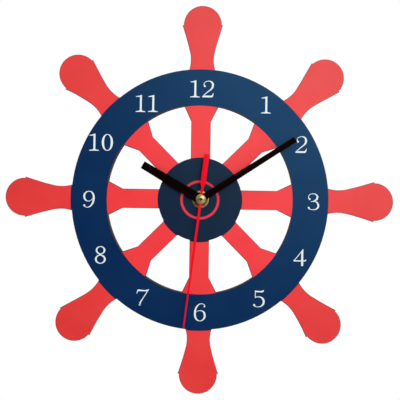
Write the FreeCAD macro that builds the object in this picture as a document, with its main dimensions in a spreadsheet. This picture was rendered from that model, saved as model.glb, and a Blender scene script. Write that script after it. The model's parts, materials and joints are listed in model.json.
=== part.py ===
import FreeCAD
import Part
import Sketcher
import math
import os
from FreeCAD import Placement, Rotation, Vector

# Ship's-wheel wall clock. +Z is up, the face looks along -Y, and the origin is
# where the hand shaft's axis meets the wall. Every piece is drawn flat, with x to
# the right, y up and z out from the wall, and then turned to stand upright.

# Driving dimensions, in millimetres, degrees and counts.
sizes = {
    # wheel board
    "board_thickness": 3.0,
    "ring_outer_radius": 100.2,
    "ring_width": 27.8,
    "hub_radius": 32.4,
    "spoke_count": 8,
    "spoke_width": 14.9,
    "flare_length": 12.5,
    "flare_width": 26.0,
    "neck_root_width": 19.8,
    "neck_waist_width": 17.54,
    "neck_waist_reach": 7.1,
    "neck_end_width": 18.6,
    "neck_end_reach": 12.9,
    "flank_middle_width": 24.64,
    "flank_middle_reach": 24.4,
    "shoulder_width": 31.1,
    "shoulder_reach": 34.1,
    "ball_radius": 14.6,
    "ball_reach": 35.2,
    # printed films on the board
    "film_thickness": 0.1,
    "hub_line_radius": 14.2,
    "hub_line_width": 1.9,
    "numeral_height": 13.1,
    "numeral_inset": 12.2,
    # clock movement case
    "case_wall": 1.2,
    "case_corner_radius": 1.5,
    "cover_thickness": 1.6,
    "shelf_thickness": 1.0,
    # battery and its contacts
    "battery_radius": 7.0,
    "battery_length": 49.2,
    "battery_nub_radius": 2.6,
    "battery_nub_length": 1.0,
    "battery_gap": 0.25,
    "battery_depth_gap": 0.2,
    "contact_depth": 1.45,
    "contact_thickness": 0.3,
    "contact_width": 7.0,
    "contact_height": 9.0,
    # plates, posts and pivots inside the case
    "plate_thickness": 0.8,
    "plate_margin": 0.3,
    "plate_right_edge": 18.6,
    "post_radius": 1.2,
    "pivot_radius": 0.4,
    "pivot_clearance": 0.05,
    "pivot_entry": 0.6,
    "arbor_radius": 0.7,
    # wheels
    "motor_module": 0.25,
    "seconds_module": 0.3,
    "third_module": 0.3,
    "motion_module": 0.5,
    "rotor_teeth": 8,
    "intermediate_teeth": 40,
    "intermediate_pinion_teeth": 10,
    "seconds_teeth": 60,
    "seconds_pinion_teeth": 8,
    "third_teeth": 64,
    "third_pinion_teeth": 8,
    "centre_teeth": 60,
    "cannon_teeth": 12,
    "minute_teeth": 36,
    "minute_pinion_teeth": 10,
    "hour_teeth": 40,
    "wheel_thickness": 0.6,
    "intermediate_wheel_thickness": 0.5,
    "train_plate_gap": 0.4,
    "train_gap": 0.6,
    "wheel_gap": 0.4,
    "plate_gap": 0.6,
    "motion_gap": 0.9,
    "hour_gap": 1.1,
    "flange_gap": 0.4,
    "third_angle": 90.0,
    "intermediate_angle": -25.0,
    "rotor_angle": 0.0,
    "minute_angle": 180.0,
    "pinion_overrun": 0.4,
    # shafts at the dial's centre
    "spindle_radius": 0.5,
    "minute_tube_radius": 1.6,
    "hour_tube_radius": 2.5,
    "running_clearance": 0.06,
    "collar_radius": 2.3,
    "collar_thickness": 0.4,
    "bush_radius": 4.0,
    "bush_flange_radius": 6.0,
    "bush_flange_thickness": 0.8,
    "bush_hole_clearance": 0.3,
    # stepping motor
    "magnet_radius": 2.0,
    "magnet_length": 1.2,
    "stator_thickness": 0.8,
    "stator_air_gap": 0.4,
    "stator_bar_width": 6.4,
    "stator_arm_width": 3.2,
    "stator_height": 25.2,
    "stator_foot": 6.16,
    "coil_reach": 7.2,
    "coil_radius": 3.4,
    "core_width": 2.4,
    "bobbin_wall": 0.5,
    "bobbin_flange_radius": 3.6,
    "bobbin_flange_thickness": 0.8,
    "motor_screw_radius": 0.9,
    "motor_screw_head_height": 0.5,
    # electronics
    "board_left_gap": 0.8,
    "circuit_width": 17.0,
    "circuit_height": 15.0,
    "circuit_thickness": 0.6,
    "circuit_standoff": 0.3,
    "circuit_bar_width": 13.2,
    "chip_side": 4.5,
    "chip_height": 0.8,
    "crystal_radius": 0.95,
    "crystal_length": 6.2,
    # setting knob
    "knob_radius": 4.6,
    "knob_thickness": 2.3,
    "knob_recess_depth": 3.0,
    "knob_gap": 0.5,
    "knob_back_gap": 0.3,
    "knob_arbor_radius": 1.0,
    "knob_ribs": 24,
    "knob_rib_radius": 0.25,
    # hanger, washers and nut
    "hanger_thickness": 0.8,
    "hanger_width": 14.0,
    "hanger_foot_reach": 9.0,
    "hanger_top_gap": 0.3,
    "hanger_tab_height": 12.0,
    "hanger_hole_radius": 2.5,
    "hanger_hole_edge": 5.2,
    "cushion_thickness": 1.0,
    "cushion_radius": 10.0,
    "washer_thickness": 0.5,
    "washer_radius": 6.65,
    "nut_thickness": 2.0,
    "nut_across_flats": 10.0,
    "nut_sides": 6,
    "nut_chamfer": 0.6,
    # hands
    "hand_thickness": 0.5,
    "second_hand_thickness": 0.4,
    "hour_hand_rise": 0.2,
    "hour_hand_length": 52.1,
    "hour_hand_tip_width": 6.0,
    "hour_hand_root_width": 7.4,
    "hour_hand_hub_radius": 4.0,
    "hour_hand_angle": 300.0,
    "minute_hand_rise": 0.6,
    "minute_hand_length": 86.7,
    "minute_hand_tip_width": 4.1,
    "minute_hand_root_width": 5.3,
    "minute_hand_hub_radius": 3.3,
    "minute_hand_angle": 56.8,
    "second_hand_rise": 0.5,
    "second_hand_length": 99.5,
    "second_hand_tip_width": 1.0,
    "second_hand_root_width": 2.0,
    "second_hand_hub_radius": 2.4,
    "second_hand_angle": 186.9,
    "tail_length": 35.1,
    "tail_paddle_width": 4.0,
    "tail_paddle_reach": 12.0,
    "tail_stem_width": 1.8,
    "tail_stem_reach": 9.3,
    "collet_length": 0.8,
    "collet_wall": 0.9,
    "collet_spigot_wall": 0.4,
    "cap_radius": 4.02,
    "cap_rim_height": 0.35,
    "cap_height": 0.9,
    "cap_hole_radius": 0.9,
    "cap_hole_depth": 0.3,
    # one overrun for every cut that passes through
    "cut_overrun": 1.0,
}

quarter_turn = 90.0
half_turn = 180.0
full_turn = 360.0

# Shares of a gear's module or tooth pitch.
wheel_addendum_share = 1.0
wheel_dedendum_share = 1.3
wheel_tooth_share = 0.46
wheel_tip_share = 0.4
pinion_addendum_share = 0.8
pinion_dedendum_share = 1.25
pinion_tooth_share = 0.36
pinion_tip_share = 0.55

doc = FreeCAD.newDocument("WheelClock")
sheet = doc.addObject("Spreadsheet::Sheet", "Sizes")
for row, (alias, number) in enumerate(sizes.items(), start=1):
    sheet.set(f"A{row}", alias)
    sheet.set(f"B{row}", str(number))
    sheet.setAlias(f"B{row}", alias)
doc.recompute()

# Places worked out from the driving dimensions: levels above the wall, the wheels'
# axes and modules.
places = doc.addObject("App::VarSet", "Places")


def place(name, expression):
    places.addProperty("App::PropertyFloat", name)
    places.setExpression(name, expression)


def size(name):
    return float(sizes[name])


def placed(name):
    return float(getattr(places, name))


place("ring_inner_radius", "Sizes.ring_outer_radius - Sizes.ring_width")
place("numeral_circle_radius", "Sizes.ring_outer_radius - Sizes.numeral_inset")

place(
    "train_plate_level",
    "Sizes.knob_recess_depth + Sizes.plate_thickness + Sizes.train_plate_gap",
)
place("train_plate_front", "Places.train_plate_level + Sizes.plate_thickness")
place("seconds_wheel_level", "Places.train_plate_front + Sizes.train_gap")
place("third_wheel_level", "Places.seconds_wheel_level + Sizes.wheel_thickness + Sizes.wheel_gap")
place("intermediate_wheel_level", "Places.third_wheel_level + Sizes.wheel_gap")
place("centre_wheel_level", "Places.third_wheel_level + Sizes.wheel_thickness + 2 * Sizes.wheel_gap")
place("middle_plate_level", "Places.centre_wheel_level + Sizes.wheel_thickness + Sizes.plate_gap")
place("middle_plate_front", "Places.middle_plate_level + Sizes.plate_thickness")
place("minute_wheel_level", "Places.middle_plate_front + Sizes.motion_gap")
place("hour_wheel_level", "Places.minute_wheel_level + Sizes.wheel_thickness + Sizes.hour_gap")
place(
    "hour_wheel_room",
    "Places.hour_wheel_level + Sizes.wheel_thickness + Sizes.flange_gap + Sizes.bush_flange_thickness",
)
place("battery_room", "2 * Sizes.battery_radius + 2 * Sizes.battery_depth_gap")
place("pivot_back", "Places.train_plate_front - Sizes.pivot_entry")
place("pivot_front", "Places.middle_plate_level + Sizes.pivot_entry")

place("cover_back", "max(Places.hour_wheel_room; Places.battery_room)")
place("hanger_back", "Places.cover_back + Sizes.cover_thickness")
place("cushion_back", "Places.hanger_back + Sizes.hanger_thickness")
place("board_back", "Places.cushion_back + Sizes.cushion_thickness")
place("board_front", "Places.board_back + Sizes.board_thickness")
place("washer_front", "Places.board_front + Sizes.washer_thickness")
place("nut_front", "Places.washer_front + Sizes.nut_thickness")
place("hour_collet_back", "Places.nut_front + Sizes.hour_hand_rise")
place("hour_hand_back", "Places.hour_collet_back + Sizes.collet_length")
place("hour_hand_front", "Places.hour_hand_back + Sizes.hand_thickness")
place("minute_collet_back", "Places.hour_hand_front + Sizes.minute_hand_rise")
place("minute_hand_back", "Places.minute_collet_back + Sizes.collet_length")
place("minute_hand_front", "Places.minute_hand_back + Sizes.hand_thickness")
place("second_collet_back", "Places.minute_hand_front + Sizes.second_hand_rise")
place("second_hand_back", "Places.second_collet_back + Sizes.collet_length")
place("second_hand_front", "Places.second_hand_back + Sizes.second_hand_thickness")
place("cap_front", "Places.second_hand_front + Sizes.cap_height")

place("half_battery", "(Sizes.battery_length + Sizes.battery_nub_length) / 2")
place(
    "half_case",
    "Places.half_battery + Sizes.battery_gap + Sizes.contact_depth + Sizes.case_wall",
)
place("inner_half", "Places.half_case - Sizes.case_wall")
place("battery_height", "2 * Sizes.battery_radius + 2 * Sizes.battery_gap")
place("shelf_bottom", "Places.battery_height - Places.inner_half")
place("shelf_top", "Places.shelf_bottom + Sizes.shelf_thickness")
place("battery_y", "Sizes.battery_radius + Sizes.battery_gap - Places.inner_half")
place("battery_level", "Places.cover_back - Sizes.battery_radius - Sizes.battery_gap / 2")

place("motor_distance", "Sizes.motor_module * (Sizes.rotor_teeth + Sizes.intermediate_teeth) / 2")
place(
    "seconds_distance",
    "Sizes.seconds_module * (Sizes.intermediate_pinion_teeth + Sizes.seconds_teeth) / 2",
)
place("third_distance", "Sizes.third_module * (Sizes.seconds_pinion_teeth + Sizes.third_teeth) / 2")
place("centre_module", "2 * Places.third_distance / (Sizes.third_pinion_teeth + Sizes.centre_teeth)")
place("motion_distance", "Sizes.motion_module * (Sizes.cannon_teeth + Sizes.minute_teeth) / 2")
place("hour_module", "2 * Places.motion_distance / (Sizes.minute_pinion_teeth + Sizes.hour_teeth)")
place("third_x", "Places.third_distance * cos(Sizes.third_angle)")
place("third_y", "Places.third_distance * sin(Sizes.third_angle)")
place("intermediate_x", "Places.seconds_distance * cos(Sizes.intermediate_angle)")
place("intermediate_y", "Places.seconds_distance * sin(Sizes.intermediate_angle)")
place("rotor_x", "Places.intermediate_x + Places.motor_distance * cos(Sizes.rotor_angle)")
place("rotor_y", "Places.intermediate_y + Places.motor_distance * sin(Sizes.rotor_angle)")
place("minute_x", "Places.motion_distance * cos(Sizes.minute_angle)")
place("minute_y", "Places.motion_distance * sin(Sizes.minute_angle)")

place("coil_x", "Places.rotor_x + Sizes.coil_reach")
place("stator_bottom", "Places.rotor_y - Sizes.stator_foot")
place("stator_top", "Places.stator_bottom + Sizes.stator_height")
place("stator_front", "Places.train_plate_front + Sizes.stator_thickness")
place("coil_level", "Places.stator_front + Sizes.stator_thickness / 2")
doc.recompute()

upright = Rotation(Vector(1, 0, 0), quarter_turn)
finished = []


def stand(part, label, x="0", y="0", spin=0.0):
    # Turns a flat-drawn piece upright at the axis x, y, in the dial's plane.
    part.Label = label
    part.Placement = Placement(Vector(0, 0, 0), upright * Rotation(Vector(0, 0, 1), spin))
    part.setExpression("Placement.Base.x", x)
    part.setExpression("Placement.Base.z", y)
    finished.append(part)
    return part


def new_body(label, x="0", y="0", spin=0.0):
    body = doc.addObject("PartDesign::Body", label)
    return stand(body, label, x, y, spin)


def sketch_on(body, name, level, role="XY_Plane"):
    sketch = body.newObject("Sketcher::SketchObject", name)
    plane = [item for item in body.Origin.OriginFeatures if item.Role == role][0]
    sketch.AttachmentSupport = (plane, [""])
    sketch.MapMode = "FlatFace"
    sketch.setExpression("AttachmentOffset.Base.z", level)
    return sketch


def add_circle(sketch, radius, x=0.0, y=0.0):
    # A circle whose radius follows an expression, at x, y in the sketch.
    circle = Part.Circle(Vector(x, y, 0), Vector(0, 0, 1), 1.0)
    index = sketch.addGeometry(circle, False)
    constraint = sketch.addConstraint(Sketcher.Constraint("Radius", index, 1.0))
    sketch.setExpression(f"Constraints[{constraint}]", radius)
    return index


def closed_lines(points):
    corners = [Vector(x, y, 0) for x, y in points]
    return [Part.LineSegment(a, b) for a, b in zip(corners, corners[1:] + corners[:1])]


def rectangle(left, bottom, right, top):
    return closed_lines([(left, bottom), (right, bottom), (right, top), (left, top)])


def pad(body, sketch, length):
    feature = body.newObject("PartDesign::Pad", sketch.Name + "Pad")
    feature.Profile = sketch
    feature.setExpression("Length", length)
    sketch.Visibility = False
    return feature


def pocket(body, sketch, length, forward=True):
    # Cuts away from the wall when forward, and towards the wall otherwise.
    before = body.Shape.Volume
    feature = body.newObject("PartDesign::Pocket", sketch.Name + "Pocket")
    feature.Profile = sketch
    feature.setExpression("Length", length)
    feature.Reversed = forward
    doc.recompute()
    if body.Shape.Volume >= before:
        raise RuntimeError(sketch.Name + " cuts nothing")
    return feature


def disc(body, name, radius, level, length, x=0.0, y=0.0):
    sketch = sketch_on(body, name, level)
    add_circle(sketch, radius, x, y)
    return pad(body, sketch, length)


def hole(body, name, radius, level, length, x=0.0, y=0.0):
    sketch = sketch_on(body, name, level)
    add_circle(sketch, radius, x, y)
    return pocket(body, sketch, length)


def cylinder(name, radius, level, length, x="0", y="0"):
    solid = doc.addObject("Part::Cylinder", name)
    solid.setExpression("Radius", radius)
    solid.setExpression("Height", length)
    solid.setExpression("Placement.Base.x", x)
    solid.setExpression("Placement.Base.y", y)
    solid.setExpression("Placement.Base.z", level)
    return solid


def fused(name, solids):
    joined = doc.addObject("Part::MultiFuse", name)
    joined.Shapes = solids
    joined.Refine = True
    return joined


def cut(name, base, tool):
    difference = doc.addObject("Part::Cut", name)
    difference.Base = base
    difference.Tool = tool
    difference.Refine = True
    return difference


def slab(label, outline, level, thickness):
    body = new_body(label)
    sketch = sketch_on(body, label + "_outline", level)
    sketch.addGeometry(outline, False)
    pad(body, sketch, thickness)
    return body


def ring(label, radius, bore, level, length):
    # A plain washer or sleeve on the hand shaft's axis.
    outside = cylinder(label + "_outside", radius, level, length)
    inside = cylinder(
        label + "_inside",
        bore,
        f"{level} - Sizes.cut_overrun",
        f"{length} + 2 * Sizes.cut_overrun",
    )
    return stand(cut(label, outside, inside), label)


# Wheel board

def turned_about(x, y, clockwise):
    angle = -math.radians(clockwise)
    return (
        x * math.cos(angle) - y * math.sin(angle),
        x * math.sin(angle) + y * math.cos(angle),
    )


def arc(first, middle, last):
    return Part.Arc(Vector(*first, 0), Vector(*middle, 0), Vector(*last, 0))


def line(first, last):
    return Part.LineSegment(Vector(*first, 0), Vector(*last, 0))


def half_chord_height(radius, width):
    return math.sqrt(radius**2 - (width / 2) ** 2)


def handle_outline(clockwise):
    # One handle from its left foot on the ring, over the ball, to its right foot.
    ring_radius = size("ring_outer_radius")
    ball_centre = ring_radius + size("ball_reach")
    shoulder = ring_radius + size("shoulder_reach")
    ball_side = math.sqrt(size("ball_radius") ** 2 - (ball_centre - shoulder) ** 2)
    stations = [
        (size("neck_root_width") / 2, half_chord_height(ring_radius, size("neck_root_width"))),
        (size("neck_waist_width") / 2, ring_radius + size("neck_waist_reach")),
        (size("neck_end_width") / 2, ring_radius + size("neck_end_reach")),
        (size("flank_middle_width") / 2, ring_radius + size("flank_middle_reach")),
        (size("shoulder_width") / 2, shoulder),
        (ball_side, shoulder),
    ]
    right = [turned_about(x, y, clockwise) for x, y in stations]
    left = [turned_about(-x, y, clockwise) for x, y in stations]
    top = turned_about(0, ball_centre + size("ball_radius"), clockwise)
    return [
        arc(left[0], left[1], left[2]),
        arc(left[2], left[3], left[4]),
        line(left[4], left[5]),
        arc(left[5], top, right[5]),
        line(right[5], right[4]),
        arc(right[4], right[3], right[2]),
        arc(right[2], right[1], right[0]),
    ]


def rim_outline():
    # The whole outer edge: the handles and the stretches of ring between them.
    radius = size("ring_outer_radius")
    step = full_turn / size("spoke_count")
    foot_x = size("neck_root_width") / 2
    foot_y = half_chord_height(radius, size("neck_root_width"))
    edges = []
    for number in range(int(size("spoke_count"))):
        clockwise = number * step
        edges += handle_outline(clockwise)
        start = turned_about(foot_x, foot_y, clockwise)
        middle = turned_about(0, radius, clockwise + step / 2)
        end = turned_about(-foot_x, foot_y, clockwise + step)
        edges.append(arc(start, middle, end))
    return edges


def gap_outline():
    # The opening to the right of the top spoke, between the hub and the ring.
    half_spoke = size("spoke_width") / 2
    half_flare = size("flare_width") / 2
    inner = placed("ring_inner_radius")
    step = full_turn / size("spoke_count")
    side = [
        (half_spoke, half_chord_height(size("hub_radius"), size("spoke_width"))),
        (half_spoke, inner - size("flare_length")),
        (half_flare, half_chord_height(inner, size("flare_width"))),
    ]
    other = [turned_about(-x, y, step) for x, y in side]
    ring_middle = turned_about(0, inner, step / 2)
    hub_middle = turned_about(0, size("hub_radius"), step / 2)
    return [
        line(side[0], side[1]),
        line(side[1], side[2]),
        arc(side[2], ring_middle, other[2]),
        line(other[2], other[1]),
        line(other[1], other[0]),
        arc(other[0], hub_middle, side[0]),
    ]


def wheel_board():
    body = new_body("wheel_board")
    rim = sketch_on(body, "rim", "Places.board_back")
    rim.addGeometry(rim_outline(), False)
    pad(body, rim, "Sizes.board_thickness")
    doc.recompute()
    gap = sketch_on(body, "gap", "Places.board_back")
    gap.addGeometry(gap_outline(), False)
    cut_out = pocket(body, gap, "Sizes.board_thickness")
    pattern = body.newObject("PartDesign::PolarPattern", "gaps")
    pattern.Originals = [cut_out]
    pattern.Axis = (gap, ["N_Axis"])
    pattern.Angle = full_turn
    pattern.setExpression("Occurrences", "Sizes.spoke_count")
    body.Tip = pattern
    doc.recompute()
    hole(
        body,
        "bush_hole",
        "Sizes.bush_radius + Sizes.bush_hole_clearance",
        "Places.board_back",
        "Sizes.board_thickness",
    )


wheel_board()


# Printed films on the board's face

def ring_film(label, outer, inner):
    body = new_body(label)
    sketch = sketch_on(body, label + "_sketch", "Places.board_front")
    add_circle(sketch, outer)
    add_circle(sketch, inner)
    pad(body, sketch, "Sizes.film_thickness")


ring_film("dial_ring_film", "Sizes.ring_outer_radius", "Places.ring_inner_radius")
ring_film("hub_film", "Sizes.hub_radius", "Sizes.washer_radius + Sizes.bush_hole_clearance")


def hub_line():
    body = new_body("hub_line_film")
    sketch = sketch_on(body, "hub_line", "Places.board_front + Sizes.film_thickness")
    add_circle(sketch, "Sizes.hub_line_radius + Sizes.hub_line_width / 2")
    add_circle(sketch, "Sizes.hub_line_radius - Sizes.hub_line_width / 2")
    pad(body, sketch, "Sizes.film_thickness")


hub_line()

# Numerals, drawn about their middle in shares of their height, with every x then
# stretched. A pen stroke is a row of points on its centre line, each with half the
# pen's width there.
stretch_share = 1.12
pitch_share = 0.752
stem_share = 0.079
slab_share = 0.056
ball_share = 0.095

# The clockwise turn of each numeral from the top, and its distance from the dial's
# centre as a share of the numeral circle's radius.
numeral_spots = {
    1: (33.8, 1.016),
    2: (60.5, 1.014),
    3: (90.2, 0.993),
    4: (119.4, 1.01),
    5: (148.6, 1.016),
    6: (179.7, 0.99),
    7: (209.9, 1.003),
    8: (240.2, 1.005),
    9: (269.4, 0.981),
    10: (299.0, 1.013),
    11: (330.0, 0.968),
    12: (359.6, 0.975),
}

one_slab_reach_share = 0.23
one_flag_shares = [
    (-0.19, 0.31),
    (-0.18, 0.35),
    (0.0, 0.5),
    (stem_share, 0.5),
    (stem_share, 0.3),
    (-stem_share, 0.3),
]
two_bowl_shares = [
    (-0.235, 0.26, 0.03),
    (-0.2, 0.38, 0.022),
    (-0.02, 0.475, 0.024),
    (0.15, 0.39, 0.07),
    (0.2, 0.23, 0.088),
    (0.13, 0.07, 0.072),
    (-0.06, -0.11, 0.046),
    (-0.2, -0.27, 0.03),
    (-0.285, -0.47, 0.02),
]
two_base_shares = [
    (-0.31, -0.5),
    (0.27, -0.5),
    (0.31, -0.24),
    (0.27, -0.24),
    (0.2, -0.34),
    (0.05, -0.345),
    (-0.22, -0.36),
]
three_top_shares = [
    (-0.22, 0.28, 0.03),
    (-0.18, 0.39, 0.022),
    (-0.02, 0.475, 0.022),
    (0.13, 0.41, 0.062),
    (0.17, 0.28, 0.076),
    (0.12, 0.14, 0.055),
    (-0.06, 0.045, 0.022),
]
three_bottom_shares = [
    (-0.06, 0.045, 0.022),
    (0.13, -0.03, 0.06),
    (0.205, -0.2, 0.088),
    (0.13, -0.39, 0.06),
    (-0.04, -0.475, 0.022),
    (-0.2, -0.41, 0.022),
    (-0.25, -0.29, 0.03),
]
four_left_share = -0.32
four_right_share = 0.32
four_stem_left_share = 0.02
four_bar_bottom_share = -0.25
four_bar_share = 0.084
four_slab_left_share = -0.08
four_slab_right_share = 0.29
four_diagonal_shares = [(-0.32, -0.25), (-0.25, -0.25), (0.1, 0.4), (0.05, 0.5)]
five_flag_shares = [
    (-0.2, 0.5),
    (-0.05, 0.465),
    (0.2, 0.5),
    (0.2, 0.46),
    (0.12, 0.34),
    (-0.16, 0.33),
]
five_stem_shares = [(-0.2, 0.5), (-0.155, 0.5), (-0.165, 0.0), (-0.21, -0.02)]
five_bowl_shares = [
    (-0.19, 0.0, 0.02),
    (-0.1, 0.11, 0.022),
    (0.06, 0.13, 0.034),
    (0.185, 0.0, 0.08),
    (0.2, -0.2, 0.088),
    (0.1, -0.4, 0.055),
    (-0.06, -0.475, 0.022),
    (-0.21, -0.41, 0.022),
    (-0.25, -0.29, 0.03),
]
six_stem_shares = [
    (0.21, 0.31, 0.03),
    (0.17, 0.41, 0.022),
    (0.05, 0.475, 0.024),
    (-0.1, 0.38, 0.055),
    (-0.185, 0.18, 0.08),
    (-0.205, -0.04, 0.085),
    (-0.2, -0.2, 0.08),
]
six_bowl_shares = {"y": -0.195, "width": 0.29, "height": 0.305, "counter": 0.125, "inner": 0.262}
seven_flag_shares = [
    (-0.27, 0.22),
    (-0.23, 0.5),
    (-0.19, 0.44),
    (0.0, 0.485),
    (0.3, 0.5),
    (0.3, 0.46),
    (0.24, 0.36),
    (-0.1, 0.35),
    (-0.2, 0.31),
    (-0.235, 0.22),
]
seven_leg_shares = [
    (0.275, 0.46, 0.025),
    (0.17, 0.27, 0.04),
    (0.05, 0.02, 0.065),
    (-0.01, -0.22, 0.09),
    (-0.02, -0.4, 0.095),
]
seven_foot_share = 0.1
zero_shares = {"y": 0.0, "width": 0.31, "height": 0.5, "counter": 0.142, "inner": 0.462}
eight_top_shares = {"y": 0.255, "width": 0.235, "height": 0.245, "counter": 0.105, "inner": 0.21}
eight_bottom_shares = {"y": -0.22, "width": 0.29, "height": 0.28, "counter": 0.135, "inner": 0.24}


two_ball_spot = (-0.185, 0.25)
three_ball_spots = [(-0.165, 0.28), (-0.195, -0.28)]
five_ball_spot = (-0.2, -0.28)
six_ball_spot = (0.155, 0.31)
seven_foot_spot = (-0.02, -0.4)


def flat_face(edges):
    return Part.Face(Part.Wire(Part.__sortEdges__(edges)))


def spot(x, y, height):
    return Vector(x * stretch_share * height, y * height, 0)


def share_polygon(points, height):
    corners = [spot(x, y, height) for x, y in points]
    return Part.Face(Part.makePolygon(corners + corners[:1]))


def share_rectangle(left, bottom, right, top, height):
    return share_polygon([(left, bottom), (right, bottom), (right, top), (left, top)], height)


def ball_face(centre, height, radius_share=ball_share):
    circle = Part.Circle(spot(*centre, height), Vector(0, 0, 1), radius_share * height)
    return flat_face([circle.toShape()])


def ellipse_face(y, half_width, half_height, height):
    centre = spot(0, y, height)
    along = spot(half_width, y, height)
    across = spot(0, y + half_height, height)
    if (along - centre).Length < (across - centre).Length:
        along = across
        across = spot(-half_width, y, height)
    return flat_face([Part.Ellipse(along, across, centre).toShape()])


def pen_stroke(points, height):
    # The outline runs up one side of the pen's path and back down the other.
    left = []
    right = []
    for index, (x, y, half) in enumerate(points):
        before = points[max(index - 1, 0)]
        after = points[min(index + 1, len(points) - 1)]
        along = spot(*after[:2], height) - spot(*before[:2], height)
        along.normalize()
        across = Vector(-along.y, along.x, 0) * half * height
        left.append(spot(x, y, height) + across)
        right.append(spot(x, y, height) - across)
    sides = []
    for row in (left, right):
        curve = Part.BSplineCurve()
        curve.interpolate(row)
        sides.append(curve.toShape())
    sides.append(Part.LineSegment(left[0], right[0]).toShape())
    sides.append(Part.LineSegment(left[-1], right[-1]).toShape())
    return flat_face(sides)


def turned_half(points):
    return [(-x, -y, half) for x, y, half in points]


def loop_face(loop, turn, height):
    # An upright oval ring, thick at its sides, turned half round when turn is -1.
    outside = ellipse_face(turn * loop["y"], loop["width"], loop["height"], height)
    inside = ellipse_face(turn * loop["y"], loop["counter"], loop["inner"], height)
    return outside.cut(inside)


def joined_solid(faces, thickness):
    solids = [face.extrude(Vector(0, 0, thickness)) for face in faces]
    whole = solids[0].multiFuse(solids[1:]) if len(solids) > 1 else solids[0]
    return whole.removeSplitter()


def digit_faces(digit, height):
    if digit == "1":
        reach = one_slab_reach_share
        stem = share_rectangle(-stem_share, -0.5, stem_share, 0.5, height)
        foot = share_rectangle(-reach, -0.5, reach, slab_share - 0.5, height)
        return [stem, foot, share_polygon(one_flag_shares, height)]
    if digit == "2":
        terminal = ball_face(two_ball_spot, height)
        return [pen_stroke(two_bowl_shares, height), share_polygon(two_base_shares, height), terminal]
    if digit == "3":
        balls = [ball_face(centre, height) for centre in three_ball_spots]
        return [pen_stroke(three_top_shares, height), pen_stroke(three_bottom_shares, height)] + balls
    if digit == "4":
        left = four_stem_left_share
        bottom = four_bar_bottom_share
        stem = share_rectangle(left, -0.5, left + 2 * stem_share, 0.5, height)
        bar = share_rectangle(four_left_share, bottom, four_right_share, bottom + four_bar_share, height)
        foot = share_rectangle(four_slab_left_share, -0.5, four_slab_right_share, slab_share - 0.5, height)
        return [stem, bar, foot, share_polygon(four_diagonal_shares, height)]
    if digit == "5":
        terminal = ball_face(five_ball_spot, height)
        bowl = pen_stroke(five_bowl_shares, height)
        flag = share_polygon(five_flag_shares, height)
        return [bowl, share_polygon(five_stem_shares, height), flag, terminal]
    if digit == "6":
        terminal = ball_face(six_ball_spot, height)
        stem = pen_stroke(six_stem_shares, height)
        return [stem, loop_face(six_bowl_shares, 1, height), terminal]
    if digit == "7":
        leg = pen_stroke(seven_leg_shares, height)
        foot = ball_face(seven_foot_spot, height, seven_foot_share)
        return [share_polygon(seven_flag_shares, height), leg, foot]
    if digit == "8":
        return [loop_face(loop, 1, height) for loop in (eight_top_shares, eight_bottom_shares)]
    if digit == "9":
        x, y = six_ball_spot
        terminal = ball_face((-x, -y), height)
        stem = pen_stroke(turned_half(six_stem_shares), height)
        return [stem, loop_face(six_bowl_shares, -1, height), terminal]
    return [loop_face(zero_shares, 1, height)]


def dial_numerals():
    height = size("numeral_height")
    level = placed("board_front") + size("film_thickness")
    solids = []
    for hour, (turn, reach_share) in numeral_spots.items():
        x, y = turned_about(0, placed("numeral_circle_radius") * reach_share, turn)
        digits = str(hour)
        for position, digit in enumerate(digits):
            offset = (position - (len(digits) - 1) / 2) * pitch_share * height
            solid = joined_solid(digit_faces(digit, height), size("film_thickness"))
            solid.translate(Vector(x + offset, y, level))
            solids += solid.Solids
    numerals = doc.addObject("Part::Feature", "dial_numerals")
    numerals.Shape = Part.makeCompound(solids)
    stand(numerals, "dial_numerals")


dial_numerals()


# Hanger, washers and nut

def wall_hanger():
    # A steel strip: it hooks on the threaded bush, passes over the case and ends
    # in a tab with the nail hole, flat on the wall.
    body = new_body("wall_hanger")
    strip = sketch_on(body, "strip", "-Sizes.hanger_width / 2", "YZ_Plane")
    thickness = size("hanger_thickness")
    front = placed("cushion_back")
    back = placed("hanger_back")
    under = placed("half_case") + size("hanger_top_gap")
    over = under + thickness
    profile = [
        (-size("hanger_foot_reach"), back),
        (under, back),
        (under, 0),
        (over + size("hanger_tab_height"), 0),
        (over + size("hanger_tab_height"), thickness),
        (over, thickness),
        (over, front),
        (-size("hanger_foot_reach"), front),
    ]
    strip.addGeometry(closed_lines(profile), False)
    pad(body, strip, "Sizes.hanger_width")
    doc.recompute()
    hole(
        body,
        "hanger_bush_hole",
        "Sizes.bush_radius + Sizes.bush_hole_clearance",
        "Places.hanger_back - Sizes.cut_overrun",
        "Sizes.hanger_thickness + 2 * Sizes.cut_overrun",
    )
    nail_y = over + size("hanger_tab_height") - size("hanger_hole_edge")
    hole(
        body,
        "nail_hole",
        "Sizes.hanger_hole_radius",
        "-Sizes.cut_overrun",
        "Sizes.hanger_thickness + 2 * Sizes.cut_overrun",
        0.0,
        nail_y,
    )
    return nail_y


nail_hole_y = wall_hanger()

ring(
    "rubber_washer",
    "Sizes.cushion_radius",
    "Sizes.bush_radius + Sizes.bush_hole_clearance",
    "Places.cushion_back",
    "Sizes.cushion_thickness",
)
ring(
    "brass_washer",
    "Sizes.washer_radius",
    "Sizes.bush_radius + Sizes.bush_hole_clearance",
    "Places.board_front",
    "Sizes.washer_thickness",
)


nut_slope_share = 0.58


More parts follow.
